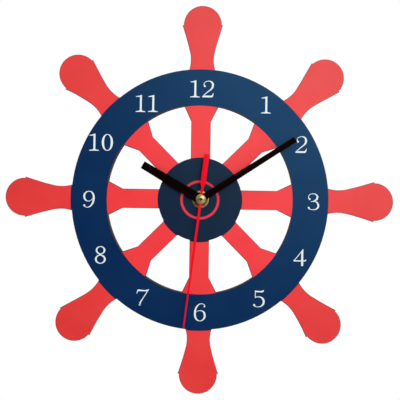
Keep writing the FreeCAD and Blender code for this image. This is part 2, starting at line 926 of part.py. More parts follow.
def hex_nut():
    body = new_body("hex_nut")
    corner = size("nut_across_flats") / 2 / math.cos(math.pi / size("nut_sides"))
    sides = int(size("nut_sides"))
    step = full_turn / sides
    hexagon = [turned_about(0, corner, step * (number + 0.5)) for number in range(sides)]
    sketch = sketch_on(body, "hexagon", "Places.washer_front")
    sketch.addGeometry(closed_lines(hexagon), False)
    pad(body, sketch, "Sizes.nut_thickness")
    doc.recompute()
    hole(body, "nut_thread", "Sizes.bush_radius", "Places.washer_front", "Sizes.nut_thickness")
    # the round chamfer that takes the front corners off
    chamfer = sketch_on(body, "nut_corners", "0", "XZ_Plane")
    front = placed("nut_front")
    start = corner - size("nut_chamfer")
    end = corner + size("cut_overrun")
    drop = (end - start) * nut_slope_share
    chamfer.addGeometry(
        [
            line((start, front), (end, front)),
            line((end, front), (end, front - drop)),
            line((end, front - drop), (start, front)),
        ],
        False,
    )
    groove = body.newObject("PartDesign::Groove", "nut_corner_groove")
    groove.Profile = chamfer
    groove.ReferenceAxis = (chamfer, ["V_Axis"])
    groove.Angle = full_turn
    doc.recompute()


hex_nut()


# Movement case

def rounded_square(half, radius):
    inner = half - radius
    diagonal = inner + radius / math.sqrt(2)
    edges = []
    for quarter in range(4):
        clockwise = quarter_turn * quarter
        start = turned_about(-inner, half, clockwise)
        end = turned_about(inner, half, clockwise)
        corner = turned_about(diagonal, diagonal, clockwise)
        after = turned_about(half, inner, clockwise)
        edges.append(line(start, end))
        edges.append(arc(end, corner, after))
    return edges


def plate_posts():
    # Where the posts stand that hold the two plates, clear of the wheels.
    inner = placed("inner_half")
    post = size("post_radius") + size("plate_margin")
    shelf = placed("shelf_top") + post
    left = post + size("plate_margin") - inner
    top = inner - post - size("plate_margin")
    right = size("plate_right_edge") - post
    return [(left, top), (right, top), (left, shelf)]


def rear_case():
    body = new_body("rear_case")
    inner = placed("inner_half")
    outline = sketch_on(body, "case_outline", "0")
    outline.addGeometry(rounded_square(placed("half_case"), size("case_corner_radius")), False)
    pad(body, outline, "Places.cover_back")
    doc.recompute()
    room = sketch_on(body, "train_room", "Sizes.case_wall")
    room.addGeometry(rectangle(-inner, placed("shelf_top"), inner, inner), False)
    pocket(body, room, "Places.cover_back")
    bay = sketch_on(body, "battery_bay", "-Sizes.cut_overrun")
    bay.addGeometry(rectangle(-inner, -inner, inner, placed("shelf_bottom")), False)
    pocket(body, bay, "Places.cover_back + 2 * Sizes.cut_overrun")
    # the cup that holds the setting knob, open to the wall
    disc(
        body,
        "knob_cup",
        "Sizes.knob_radius + Sizes.knob_gap + Sizes.plate_thickness",
        "0",
        "Sizes.knob_recess_depth + Sizes.plate_thickness",
        placed("minute_x"),
        placed("minute_y"),
    )
    doc.recompute()
    hole(
        body,
        "knob_recess",
        "Sizes.knob_radius + Sizes.knob_gap",
        "-Sizes.cut_overrun",
        "Sizes.knob_recess_depth + Sizes.cut_overrun",
        placed("minute_x"),
        placed("minute_y"),
    )
    hole(
        body,
        "knob_arbor_hole",
        "Sizes.knob_arbor_radius + Sizes.pivot_clearance",
        "0",
        "Sizes.knob_recess_depth + 2 * Sizes.cut_overrun",
        placed("minute_x"),
        placed("minute_y"),
    )
    for number, (x, y) in enumerate(plate_posts()):
        disc(
            body,
            f"case_post{number}",
            "Sizes.post_radius",
            "0",
            "Places.train_plate_level",
            x,
            y,
        )
    # a bar that holds the circuit board's upper edge off the back wall
    right = size("plate_margin") + size("circuit_width") - inner
    top = inner - size("plate_margin")
    standoff = sketch_on(body, "circuit_standoff", "0")
    standoff.addGeometry(
        rectangle(right - size("circuit_bar_width"), top - size("post_radius"), right, top),
        False,
    )
    pad(body, standoff, "Sizes.case_wall + Sizes.circuit_standoff")


rear_case()


def front_cover():
    body = new_body("front_cover")
    outline = sketch_on(body, "cover_outline", "Places.cover_back")
    outline.addGeometry(rounded_square(placed("half_case"), size("case_corner_radius")), False)
    pad(body, outline, "Sizes.cover_thickness")
    doc.recompute()
    hole(body, "cover_bush_hole", "Sizes.bush_radius", "Places.cover_back", "Sizes.cover_thickness")
    hole(
        body,
        "cover_pivot_hole",
        "Sizes.knob_arbor_radius + Sizes.pivot_clearance",
        "Places.cover_back",
        "Sizes.cover_thickness / 2 + 2 * Sizes.pivot_clearance",
        placed("minute_x"),
        placed("minute_y"),
    )
    for number, (x, y) in enumerate(plate_posts()):
        disc(
            body,
            f"cover_post{number}",
            "Sizes.post_radius",
            "Places.middle_plate_front",
            "Places.cover_back - Places.middle_plate_front + Sizes.plate_margin",
            x,
            y,
        )


front_cover()


def threaded_bush():
    sleeve = cylinder(
        "bush_sleeve",
        "Sizes.bush_radius",
        "Places.cover_back",
        "Places.nut_front - Places.cover_back",
    )
    flange = cylinder(
        "bush_flange",
        "Sizes.bush_flange_radius",
        "Places.cover_back - Sizes.bush_flange_thickness",
        "Sizes.bush_flange_thickness",
    )
    bore = cylinder(
        "bush_bore",
        "Sizes.hour_tube_radius + Sizes.running_clearance",
        "Places.cover_back - Sizes.bush_flange_thickness - Sizes.cut_overrun",
        "Places.nut_front - Places.cover_back + Sizes.bush_flange_thickness + 2 * Sizes.cut_overrun",
    )
    stand(cut("threaded_bush", fused("bush_blank", [sleeve, flange]), bore), "threaded_bush")


threaded_bush()


def inner_plate(label, level, centre_hole, holes):
    # A flat plate across the train room, left of the coil.
    body = new_body(label)
    margin = size("plate_margin")
    inner = placed("inner_half")
    outline = sketch_on(body, label + "_outline", level)
    outline.addGeometry(
        rectangle(
            margin - inner,
            placed("shelf_top") + margin,
            size("plate_right_edge"),
            inner - margin,
        ),
        False,
    )
    pad(body, outline, "Sizes.plate_thickness")
    doc.recompute()
    bores = sketch_on(body, label + "_bores", level)
    add_circle(bores, centre_hole)
    pivot = "Sizes.pivot_radius + Sizes.pivot_clearance"
    for name in holes:
        add_circle(bores, pivot, placed(name + "_x"), placed(name + "_y"))
    arbor = "Sizes.knob_arbor_radius + Sizes.pivot_clearance"
    add_circle(bores, arbor, placed("minute_x"), placed("minute_y"))
    pocket(body, bores, "Sizes.plate_thickness")
    return body


train_axes = ["third", "intermediate", "rotor"]
inner_plate(
    "train_plate",
    "Places.train_plate_level",
    "Sizes.spindle_radius + Sizes.pivot_clearance",
    train_axes,
)


def middle_plate():
    body = inner_plate(
        "middle_plate",
        "Places.middle_plate_level",
        "Sizes.minute_tube_radius + Sizes.running_clearance",
        train_axes,
    )
    for number, (x, y) in enumerate(plate_posts()):
        disc(
            body,
            f"plate_leg{number}",
            "Sizes.post_radius",
            "Places.train_plate_front",
            "Places.middle_plate_level - Places.train_plate_front + Sizes.plate_thickness",
            x,
            y,
        )


middle_plate()


# Gears

def tooth_ring(teeth, module, wheel):
    # The outline of a gear's teeth, with one tooth at the top.
    if wheel:
        addendum = wheel_addendum_share
        dedendum = wheel_dedendum_share
        thickness = wheel_tooth_share
        tip = wheel_tip_share
    else:
        addendum = pinion_addendum_share
        dedendum = pinion_dedendum_share
        thickness = pinion_tooth_share
        tip = pinion_tip_share
    pitch_radius = teeth * module / 2
    root_radius = pitch_radius - dedendum * module
    tip_radius = pitch_radius + addendum * module
    half = math.degrees(math.pi / teeth) * thickness
    points = []
    for number in range(int(teeth)):
        centre = full_turn * number / teeth
        stations = [
            (root_radius, -half),
            (pitch_radius, -half),
            (tip_radius, -half * tip),
            (tip_radius, half * tip),
            (pitch_radius, half),
            (root_radius, half),
        ]
        points += [turned_about(0, radius, centre + turn) for radius, turn in stations]
    return closed_lines(points)


def gear(body, name, teeth, module, wheel, level, length):
    sketch = sketch_on(body, name, level)
    sketch.addGeometry(tooth_ring(teeth, module, wheel), False)
    return pad(body, sketch, length)


def mesh_spin(direction, spin, teeth, other_teeth):
    # How far a gear is turned so that its gap meets a tooth of the gear that it
    # meshes with, which lies back along direction and is itself turned by spin.
    # Directions and turns are anticlockwise from the x axis, in degrees.
    offset = (direction - quarter_turn - spin) * teeth / full_turn
    own = 0.5 - offset
    return direction + quarter_turn - own * full_turn / other_teeth


seconds_spin = 0.0
intermediate_spin = mesh_spin(
    size("intermediate_angle"),
    seconds_spin,
    size("seconds_teeth"),
    size("intermediate_pinion_teeth"),
)
rotor_spin = mesh_spin(
    size("rotor_angle"),
    intermediate_spin,
    size("intermediate_teeth"),
    size("rotor_teeth"),
)
third_spin = mesh_spin(
    size("third_angle"),
    seconds_spin,
    size("seconds_pinion_teeth"),
    size("third_teeth"),
)
centre_spin = mesh_spin(
    size("third_angle") + half_turn,
    third_spin,
    size("third_pinion_teeth"),
    size("centre_teeth"),
)
cannon_spin = 0.0
minute_spin = mesh_spin(
    size("minute_angle"),
    cannon_spin,
    size("cannon_teeth"),
    size("minute_teeth"),
)
hour_spin = mesh_spin(
    size("minute_angle") + half_turn,
    minute_spin,
    size("minute_pinion_teeth"),
    size("hour_teeth"),
)


def pivots(body, name):
    # The thin ends that turn in the two plates.
    length = "Places.pivot_front - Places.pivot_back"
    disc(body, name + "_pivots", "Sizes.pivot_radius", "Places.pivot_back", length)


def rotor():
    body = new_body("rotor_pinion", "Places.rotor_x", "Places.rotor_y", rotor_spin)
    level = "Places.intermediate_wheel_level - Sizes.pinion_overrun"
    length = "Sizes.wheel_thickness + 2 * Sizes.pinion_overrun"
    gear(body, "rotor_teeth", size("rotor_teeth"), size("motor_module"), False, level, length)
    pivots(body, "rotor")
    magnet = cylinder(
        "magnet_outside",
        "Sizes.magnet_radius",
        f"{level} - Sizes.magnet_length",
        "Sizes.magnet_length",
    )
    bore = cylinder(
        "magnet_bore",
        "Sizes.pivot_radius",
        f"{level} - Sizes.magnet_length - Sizes.cut_overrun",
        "Sizes.magnet_length + 2 * Sizes.cut_overrun",
    )
    piece = cut("rotor_magnet", magnet, bore)
    stand(piece, "rotor_magnet", "Places.rotor_x", "Places.rotor_y")


rotor()


def intermediate_wheel():
    body = new_body(
        "intermediate_wheel",
        "Places.intermediate_x",
        "Places.intermediate_y",
        intermediate_spin,
    )
    gear(
        body,
        "intermediate_teeth",
        size("intermediate_teeth"),
        size("motor_module"),
        True,
        "Places.intermediate_wheel_level",
        "Sizes.intermediate_wheel_thickness",
    )
    back = "Places.seconds_wheel_level - Sizes.pinion_overrun"
    gear(
        body,
        "intermediate_pinion",
        size("intermediate_pinion_teeth"),
        size("seconds_module"),
        False,
        back,
        f"Places.intermediate_wheel_level - ({back})",
    )
    pivots(body, "intermediate")


intermediate_wheel()


def seconds_wheel():
    body = new_body("seconds_wheel", "0", "0", seconds_spin)
    gear(
        body,
        "seconds_teeth",
        size("seconds_teeth"),
        size("seconds_module"),
        True,
        "Places.seconds_wheel_level",
        "Sizes.wheel_thickness",
    )
    front = "Places.third_wheel_level + Sizes.wheel_thickness + Sizes.pinion_overrun"
    gear(
        body,
        "seconds_pinion",
        size("seconds_pinion_teeth"),
        size("third_module"),
        False,
        "Places.seconds_wheel_level",
        f"{front} - Places.seconds_wheel_level",
    )
    back = "Places.seconds_wheel_level - Sizes.collar_thickness"
    disc(body, "seconds_hub", "Sizes.arbor_radius + Sizes.pivot_radius", back, "Sizes.wheel_thickness")
    doc.recompute()
    hole(
        body,
        "seconds_bore",
        "Sizes.spindle_radius",
        f"{back} - Sizes.cut_overrun",
        f"{front} - ({back}) + 2 * Sizes.cut_overrun",
    )


seconds_wheel()


def seconds_spindle():
    body = new_body("seconds_spindle")
    length = "Places.cap_front - Sizes.cap_hole_depth - Places.pivot_back"
    disc(body, "spindle", "Sizes.spindle_radius", "Places.pivot_back", length)


seconds_spindle()


def third_wheel():
    body = new_body("third_wheel", "Places.third_x", "Places.third_y", third_spin)
    gear(
        body,
        "third_teeth",
        size("third_teeth"),
        size("third_module"),
        True,
        "Places.third_wheel_level",
        "Sizes.wheel_thickness",
    )
    front = "Places.centre_wheel_level + Sizes.wheel_thickness + Sizes.pinion_overrun"
    gear(
        body,
        "third_pinion",
        size("third_pinion_teeth"),
        placed("centre_module"),
        False,
        "Places.third_wheel_level",
        f"{front} - Places.third_wheel_level",
    )
    pivots(body, "third")


third_wheel()


def centre_wheel():
    body = new_body("centre_wheel", "0", "0", centre_spin)
    gear(
        body,
        "centre_teeth",
        size("centre_teeth"),
        placed("centre_module"),
        True,
        "Places.centre_wheel_level",
        "Sizes.wheel_thickness",
    )
    doc.recompute()
    hole(
        body,
        "centre_bore",
        "Sizes.minute_tube_radius + Sizes.pivot_clearance",
        "Places.centre_wheel_level - Sizes.cut_overrun",
        "Sizes.wheel_thickness + 2 * Sizes.cut_overrun",
    )


centre_wheel()


def minute_tube():
    body = new_body("minute_tube", "0", "0", cannon_spin)
    back = "Places.centre_wheel_level - Sizes.pinion_overrun / 2"
    disc(body, "tube", "Sizes.minute_tube_radius", back, f"Places.minute_hand_front - ({back})")
    collar_back = "Places.centre_wheel_level + Sizes.wheel_thickness + Sizes.pivot_clearance"
    disc(body, "tube_collar", "Sizes.collar_radius", collar_back, "Sizes.collar_thickness")
    gear(
        body,
        "cannon_teeth",
        size("cannon_teeth"),
        size("motion_module"),
        False,
        "Places.minute_wheel_level - Sizes.pinion_overrun",
        "Sizes.wheel_thickness + 2 * Sizes.pinion_overrun",
    )
    doc.recompute()
    hole(
        body,
        "tube_bore",
        "Sizes.spindle_radius + Sizes.running_clearance",
        f"{back} - Sizes.cut_overrun",
        f"Places.minute_hand_front - ({back}) + 2 * Sizes.cut_overrun",
    )


minute_tube()


def minute_wheel():
    body = new_body("minute_wheel", "Places.minute_x", "Places.minute_y", minute_spin)
    gear(
        body,
        "minute_teeth",
        size("minute_teeth"),
        size("motion_module"),
        True,
        "Places.minute_wheel_level",
        "Sizes.wheel_thickness",
    )
    front = "Places.hour_wheel_level + Sizes.wheel_thickness + Sizes.pinion_overrun"
    gear(
        body,
        "minute_pinion",
        size("minute_pinion_teeth"),
        placed("hour_module"),
        False,
        "Places.minute_wheel_level",
        f"{front} - Places.minute_wheel_level",
    )
    back = "Sizes.knob_back_gap + Sizes.knob_thickness / 2"
    disc(
        body,
        "minute_arbor",
        "Sizes.knob_arbor_radius",
        back,
        f"Places.cover_back + Sizes.cover_thickness / 2 - ({back})",
    )


minute_wheel()


def setting_knob():
    body = new_body("setting_knob", "Places.minute_x", "Places.minute_y")
    disc(body, "knob_disc", "Sizes.knob_radius", "Sizes.knob_back_gap", "Sizes.knob_thickness")
    doc.recompute()
    groove = sketch_on(body, "knob_groove", "Sizes.knob_back_gap")
    add_circle(groove, "Sizes.knob_rib_radius", 0.0, size("knob_radius"))
    first = pocket(body, groove, "Sizes.knob_thickness")
    pattern = body.newObject("PartDesign::PolarPattern", "knob_grooves")
    pattern.Originals = [first]
    pattern.Axis = (groove, ["N_Axis"])
    pattern.Angle = full_turn
    pattern.setExpression("Occurrences", "Sizes.knob_ribs")
    body.Tip = pattern
    doc.recompute()
    hole(
        body,
        "knob_bore",
        "Sizes.knob_arbor_radius",
        "Sizes.knob_back_gap + Sizes.knob_thickness / 2",
        "Sizes.knob_thickness",
    )


setting_knob()


def hour_wheel():
    body = new_body("hour_wheel", "0", "0", hour_spin)
    gear(
        body,
        "hour_teeth",
        size("hour_teeth"),
        placed("hour_module"),
        True,
        "Places.hour_wheel_level",
        "Sizes.wheel_thickness",
    )
    disc(
        body,
        "hour_tube",
        "Sizes.hour_tube_radius",
        "Places.hour_wheel_level",
        "Places.hour_hand_front - Places.hour_wheel_level",
    )
    doc.recompute()
    hole(
        body,
        "hour_bore",
        "Sizes.minute_tube_radius + Sizes.running_clearance",
        "Places.hour_wheel_level - Sizes.cut_overrun",
        "Places.hour_hand_front - Places.hour_wheel_level + 2 * Sizes.cut_overrun",
    )


hour_wheel()


# Stepping motor

def stator():
    # A flat steel bar round the rotor, with two arms that reach the coil's core.
    body = new_body("stator")
    middle = placed("rotor_x")
    half = size("stator_bar_width") / 2
    arm = size("stator_arm_width")
    right = placed("coil_x") + size("core_width") / 2
    bottom = placed("stator_bottom")
    top = placed("stator_top")
    outline = sketch_on(body, "stator_outline", "Places.train_plate_front")
    outline.addGeometry(
        closed_lines(
            [
                (middle - half, bottom),
                (right, bottom),
                (right, bottom + arm),
                (middle + half, bottom + arm),
                (middle + half, top - arm),
                (right, top - arm),
                (right, top),
                (middle - half, top),
            ]
        ),
        False,
    )
    pad(body, outline, "Sizes.stator_thickness")
    doc.recompute()
    hole(
        body,
        "rotor_hole",
        "Sizes.magnet_radius + Sizes.stator_air_gap",
        "Places.train_plate_front",
        "Sizes.stator_thickness",
        middle,
        placed("rotor_y"),
    )


stator()


def coil():
    slab(
        "coil_core",
        rectangle(
            placed("coil_x") - size("core_width") / 2,
            placed("stator_bottom"),
            placed("coil_x") + size("core_width") / 2,
            placed("stator_top"),
        ),
        "Places.stator_front",
        "Sizes.stator_thickness",
    )
    arm = size("stator_arm_width")
    low = placed("stator_bottom") + arm
    high = placed("stator_top") - arm
    flange = size("bobbin_flange_thickness")
    middle = Vector(placed("coil_x"), low, placed("coil_level"))
    along = Vector(0, 1, 0)
    tube_radius = size("core_width") / math.sqrt(2) + size("bobbin_wall")
    tube = Part.makeCylinder(tube_radius, high - low, middle, along)
    ends = [
        Part.makeCylinder(size("bobbin_flange_radius"), flange, middle, along),
        Part.makeCylinder(
            size("bobbin_flange_radius"),
            flange,
            middle + along * (high - low - flange),
            along,
        ),
    ]
    slot = Part.makeBox(
        size("core_width"),
        high - low,
        size("stator_thickness"),
        Vector(placed("coil_x") - size("core_width") / 2, low, placed("stator_front")),
    )
    bobbin = doc.addObject("Part::Feature", "coil_bobbin")
    bobbin.Shape = tube.multiFuse(ends).cut(slot).removeSplitter()
    stand(bobbin, "coil_bobbin")
    start = middle + along * flange
    length = high - low - 2 * flange
    outside = Part.makeCylinder(size("coil_radius"), length, start, along)
    inside = Part.makeCylinder(tube_radius, length, start, along)
    winding = doc.addObject("Part::Feature", "coil_winding")
    winding.Shape = outside.cut(inside)
    stand(winding, "coil_winding")


coil()


def motor_screws():
    # Two short screws that clamp the coil's core to the stator's arms.
    body = new_body("motor_screws")
    arm = size("stator_arm_width") / 2
    level = "Places.stator_front + Sizes.stator_thickness"
    heads = sketch_on(body, "screw_heads", level)
    for y in (placed("stator_bottom") + arm, placed("stator_top") - arm):
        add_circle(heads, "Sizes.motor_screw_radius", placed("coil_x"), y)
    pad(body, heads, "Sizes.motor_screw_head_height")


motor_screws()


# Electronics and battery

circuit_chip_share = 0.4


def circuit():
    margin = size("plate_margin")
    inner = placed("inner_half")
    left = size("board_left_gap") - inner
    top = inner - margin
    bottom = top - size("circuit_height")
    level = "Sizes.case_wall + Sizes.circuit_standoff"
    body = new_body("circuit_board")
    sketch = sketch_on(body, "circuit_outline", level)
    sketch.addGeometry(rectangle(left, bottom, left + size("circuit_width"), top), False)
    pad(body, sketch, "Sizes.circuit_thickness")
    doc.recompute()
    post_x, post_y = plate_posts()[0]
    hole(
        body,
        "circuit_post_hole",
        "Sizes.post_radius + Sizes.pivot_clearance",
        level,
        "Sizes.circuit_thickness",
        post_x,
        post_y,
    )
    front = f"{level} + Sizes.circuit_thickness"
    chip_x = left + size("circuit_width") * circuit_chip_share
    chip_y = bottom + size("circuit_height") * circuit_chip_share
    half = size("chip_side") / 2
    slab(
        "chip",
        rectangle(chip_x - half, chip_y - half, chip_x + half, chip_y + half),
        front,
        "Sizes.chip_height",
    )
    crystal = new_body("quartz_crystal")
    crystal_x = left + size("circuit_width") - size("crystal_length") - margin
    can = sketch_on(crystal, "crystal_end", str(crystal_x), "YZ_Plane")
    can_level = (
        size("case_wall")
        + size("circuit_standoff")
        + size("circuit_thickness")
        + size("crystal_radius")
    )
    add_circle(can, "Sizes.crystal_radius", top - size("crystal_radius") - margin, can_level)
    pad(crystal, can, "Sizes.crystal_length")


circuit()


def battery():
    body = new_body("battery")
    centre = (placed("battery_y"), placed("battery_level"))
    can = sketch_on(body, "battery_can", "-Places.half_battery", "YZ_Plane")
    add_circle(can, "Sizes.battery_radius", *centre)
    pad(body, can, "Sizes.battery_length")
    nub_start = "Places.half_battery - Sizes.battery_nub_length"
    nub = sketch_on(body, "battery_nub", nub_start, "YZ_Plane")
    add_circle(nub, "Sizes.battery_nub_radius", *centre)
    pad(body, nub, "Sizes.battery_nub_length")


battery()


contact_tip_share = 0.3


def battery_contact(label, side):
    # A spring leaf: a flat plate on the end wall, bowed in towards the battery.
    body = new_body(label)
    inner = placed("inner_half")
    thickness = size("contact_thickness")
    half = size("contact_height") / 2
    reach = size("contact_depth")
    middle = placed("battery_y")
    tip = half * contact_tip_share
    outer_line = [
        (inner, middle - half),
        (inner, middle + half),
        (inner - thickness, middle + half),
        (inner - reach, middle + tip),
        (inner - reach, middle - tip),
        (inner - thickness, middle - half),
    ]
    inner_line = [
        (inner - thickness, middle + half - 2 * thickness),
        (inner - reach + thickness, middle + tip - thickness),
        (inner - reach + thickness, middle - tip + thickness),
        (inner - thickness, middle - half + 2 * thickness),
    ]
    flip = 1 if side == "positive" else -1
    level = "Places.battery_level - Sizes.contact_width / 2"
    leaf = sketch_on(body, label + "_leaf", level)
    leaf.addGeometry(closed_lines([(flip * x, y) for x, y in outer_line]), False)
    leaf.addGeometry(closed_lines([(flip * x, y) for x, y in inner_line]), False)
    pad(body, leaf, "Sizes.contact_width")


battery_contact("battery_contact_positive", "positive")
battery_contact("battery_contact_negative", "negative")


# Hands

def baton_outline(length, tip_width, root_width, hub_radius):
    # A straight tapered blade that grows out of a round hub, with a square tip.
    root_y = half_chord_height(hub_radius, root_width)
    return [
        line((-root_width / 2, root_y), (-tip_width / 2, length)),
        line((-tip_width / 2, length), (tip_width / 2, length)),
        line((tip_width / 2, length), (root_width / 2, root_y)),
        arc((root_width / 2, root_y), (0, -hub_radius), (-root_width / 2, root_y)),
    ]


def hand(label, outline, level, thickness, bore, angle):
    body = new_body(label, "0", "0", -angle)
    blade = sketch_on(body, label + "_blade", level)
    blade.addGeometry(outline, False)
    pad(body, blade, thickness)
    doc.recompute()
    hole(body, label + "_bore", bore, level, thickness)
    return body


def collet(label, bore, back, hand_back, hand_front):
    # A brass sleeve behind the hand, with a thinner spigot through it.
    body = new_body(label)
    disc(body, label + "_sleeve", f"{bore} + Sizes.collet_wall", back, f"{hand_back} - {back}")
    spigot = f"{bore} + Sizes.collet_spigot_wall"
    disc(body, label + "_spigot", spigot, hand_back, f"{hand_front} - {hand_back}")
    doc.recompute()
    hole(
        body,
        label + "_bore",
        bore,
        f"{back} - Sizes.cut_overrun",
        f"{hand_front} - {back} + 2 * Sizes.cut_overrun",
    )


def hour_hand():
    outline = baton_outline(
        size("hour_hand_length"),
        size("hour_hand_tip_width"),
        size("hour_hand_root_width"),
        size("hour_hand_hub_radius"),
    )
    hand(
        "hour_hand",
        outline,
        "Places.hour_hand_back",
        "Sizes.hand_thickness",
        "Sizes.hour_tube_radius + Sizes.collet_spigot_wall",
        size("hour_hand_angle"),
    )
    collet(
        "hour_hand_collet",
        "Sizes.hour_tube_radius",
        "Places.hour_collet_back",
        "Places.hour_hand_back",
        "Places.hour_hand_front",
    )


hour_hand()


def minute_hand():
    outline = baton_outline(
        size("minute_hand_length"),
        size("minute_hand_tip_width"),
        size("minute_hand_root_width"),
        size("minute_hand_hub_radius"),
    )
    hand(
        "minute_hand",
        outline,
        "Places.minute_hand_back",
        "Sizes.hand_thickness",
        "Sizes.minute_tube_radius + Sizes.collet_spigot_wall",
        size("minute_hand_angle"),
    )
    collet(
        "minute_hand_collet",
        "Sizes.minute_tube_radius",
        "Places.minute_collet_back",
        "Places.minute_hand_back",
        "Places.minute_hand_front",
    )


minute_hand()


def second_hand():
    # A thin pointer with a longer side towards the dial and a paddle as its tail.
    tip = size("second_hand_tip_width") / 2
    root = size("second_hand_root_width") / 2
    paddle = size("tail_paddle_width") / 2
    stem = size("tail_stem_width") / 2
    hub = size("second_hand_hub_radius")
    root_y = half_chord_height(hub, 2 * root)
    stem_y = half_chord_height(hub, 2 * stem)
    length = size("second_hand_length")
    tail = size("tail_length")
    outline = [
        line((-root, root_y), (-tip, length)),
        line((-tip, length), (tip, length)),
        line((tip, length), (root, root_y)),
        arc((root, root_y), (hub, 0), (stem, -stem_y)),
        line((stem, -stem_y), (stem, -size("tail_stem_reach"))),
        line((stem, -size("tail_stem_reach")), (paddle, -size("tail_paddle_reach"))),
        line((paddle, -size("tail_paddle_reach")), (paddle, -tail)),
        line((paddle, -tail), (-paddle, -tail)),
        line((-paddle, -tail), (-paddle, -size("tail_paddle_reach"))),
        line((-paddle, -size("tail_paddle_reach")), (-stem, -size("tail_stem_reach"))),
        line((-stem, -size("tail_stem_reach")), (-stem, -stem_y)),
        arc((-stem, -stem_y), (-hub, 0), (-root, root_y)),
    ]
    hand(
        "second_hand",
        outline,
        "Places.second_hand_back",
        "Sizes.second_hand_thickness",
        "Sizes.spindle_radius + Sizes.collet_spigot_wall",
        size("second_hand_angle"),
    )


second_hand()


dome_shoulder_share = 0.75


def second_hand_cap():
    # The brass boss that holds the second hand: a sleeve behind it, a spigot
    # through it and a domed cap in front with the spindle's end in its middle.
    body = new_body("second_hand_cap")
    bore = "Sizes.spindle_radius"
    sleeve = f"{bore} + Sizes.collet_wall"
    disc(body, "boss_sleeve", sleeve, "Places.second_collet_back", "Sizes.collet_length")
    spigot = f"{bore} + Sizes.collet_spigot_wall"
    disc(body, "boss_spigot", spigot, "Places.second_hand_back", "Sizes.second_hand_thickness")
    dome = sketch_on(body, "dome", "0", "XZ_Plane")
    radius = size("cap_radius")
    hollow = size("cap_hole_radius")
    bottom = placed("second_hand_front")
    rim = bottom + size("cap_rim_height")
    top = bottom + size("cap_height")
    floor = top - size("cap_hole_depth")
    middle = math.sqrt((radius**2 + hollow**2) / 2)
    shoulder = rim + (top - rim) * dome_shoulder_share
    dome.addGeometry(
        [
            line((0, bottom), (radius, bottom)),
            line((radius, bottom), (radius, rim)),
            arc((radius, rim), (middle, shoulder), (hollow, top)),
            line((hollow, top), (hollow, floor)),
            line((hollow, floor), (0, floor)),
            line((0, floor), (0, bottom)),
        ],
        False,
    )
    revolution = body.newObject("PartDesign::Revolution", "dome_turn")
    revolution.Profile = dome
    revolution.ReferenceAxis = (dome, ["V_Axis"])
    revolution.Angle = full_turn
    doc.recompute()
    hole(
        body,
        "boss_bore",
        bore,
        "Places.second_collet_back - Sizes.cut_overrun",
        "Sizes.collet_length + Sizes.second_hand_thickness + Sizes.cap_height + 2 * Sizes.cut_overrun",
    )


second_hand_cap()


# Check every piece, then write it

doc.recompute()
for item in doc.Objects:
    if "Invalid" in item.State or "Error" in item.State:
        raise RuntimeError(f"{item.Label} is {item.State}")
os.makedirs("parts", exist_ok=True)
for part in finished:
    shape = part.Shape
    if shape.isNull() or not shape.isValid() or not shape.Solids:
        raise RuntimeError(part.Label + " has no sound shape")
    if min(solid.Volume for solid in shape.Solids) <= 0:
        raise RuntimeError(part.Label + " is inside out")
    shape.exportStep("parts/" + part.Label + ".step")
    print(part.Label, len(shape.Solids), "solids", round(shape.Volume, 3))
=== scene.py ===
import json
import math

import bmesh
import bpy
from mathutils import Matrix, Vector


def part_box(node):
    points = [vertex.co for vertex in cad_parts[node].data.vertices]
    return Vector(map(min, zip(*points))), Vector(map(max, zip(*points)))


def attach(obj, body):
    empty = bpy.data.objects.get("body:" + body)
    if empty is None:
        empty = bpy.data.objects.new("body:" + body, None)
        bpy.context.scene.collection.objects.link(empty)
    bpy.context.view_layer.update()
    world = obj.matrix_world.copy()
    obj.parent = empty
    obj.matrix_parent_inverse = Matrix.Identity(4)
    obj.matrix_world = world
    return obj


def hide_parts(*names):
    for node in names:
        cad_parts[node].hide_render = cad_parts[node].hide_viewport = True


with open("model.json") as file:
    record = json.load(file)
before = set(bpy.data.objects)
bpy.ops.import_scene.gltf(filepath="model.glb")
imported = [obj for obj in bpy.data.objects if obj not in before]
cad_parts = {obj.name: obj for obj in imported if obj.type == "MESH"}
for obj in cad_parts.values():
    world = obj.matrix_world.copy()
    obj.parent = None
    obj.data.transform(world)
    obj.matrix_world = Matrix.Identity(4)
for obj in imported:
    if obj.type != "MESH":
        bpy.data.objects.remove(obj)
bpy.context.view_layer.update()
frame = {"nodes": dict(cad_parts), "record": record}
nodes = frame["nodes"]
slotOf = {part["node"]: part["material_slot"] for part in frame["record"]["subparts"]}
bodyOf = {
    node: body
    for body, members in frame["record"]["behaviour"]["bodies"].items()
    for node in members
}
mm = 0.001
print("frame loaded:", len(nodes), "nodes")


# Node helpers

def addNode(tree, kind, settings=None, inputs=None):
    node = tree.nodes.new("ShaderNode" + kind)
    for name, value in (settings or {}).items():
        setattr(node, name, value)
    for name, value in (inputs or {}).items():
        if isinstance(value, bpy.types.NodeSocket):
            tree.links.new(value, node.inputs[name])
        else:
            node.inputs[name].default_value = value
    return node


def ink(red, green, blue):
    # a colour as read off a screen, 0 to 255
    def linear(value):
        value /= 255
        return value / 12.92 if value <= 0.04045 else ((value + 0.055) / 1.055) ** 2.4
    return (linear(red), linear(green), linear(blue), 1.0)


def mixColour(tree, factor, first, second):
    inputs = {0: factor, 6: first, 7: second}
    for key in (6, 7):
        if isinstance(inputs[key], tuple):
            inputs[key] = ink(*inputs[key])
    return addNode(tree, "Mix", {"data_type": "RGBA"}, inputs).outputs[2]


def remap(tree, value, low, high, start=0.0, end=1.0):
    inputs = {"Value": value, "From Min": low, "From Max": high, "To Min": start, "To Max": end}
    return addNode(tree, "MapRange", None, inputs).outputs["Result"]


def mixByLevel(tree, value, low, high, share, first, second):
    # goes from one colour that share of the way to another as the value rises from low to high
    return mixColour(tree, remap(tree, value, low, high, 0.0, share), first, second)


def sums(tree, operation, first, second=0.0):
    inputs = {0: first, 1: second}
    return addNode(tree, "Math", {"operation": operation}, inputs).outputs[0]


def times(tree, first, second):
    return sums(tree, "MULTIPLY", first, second)


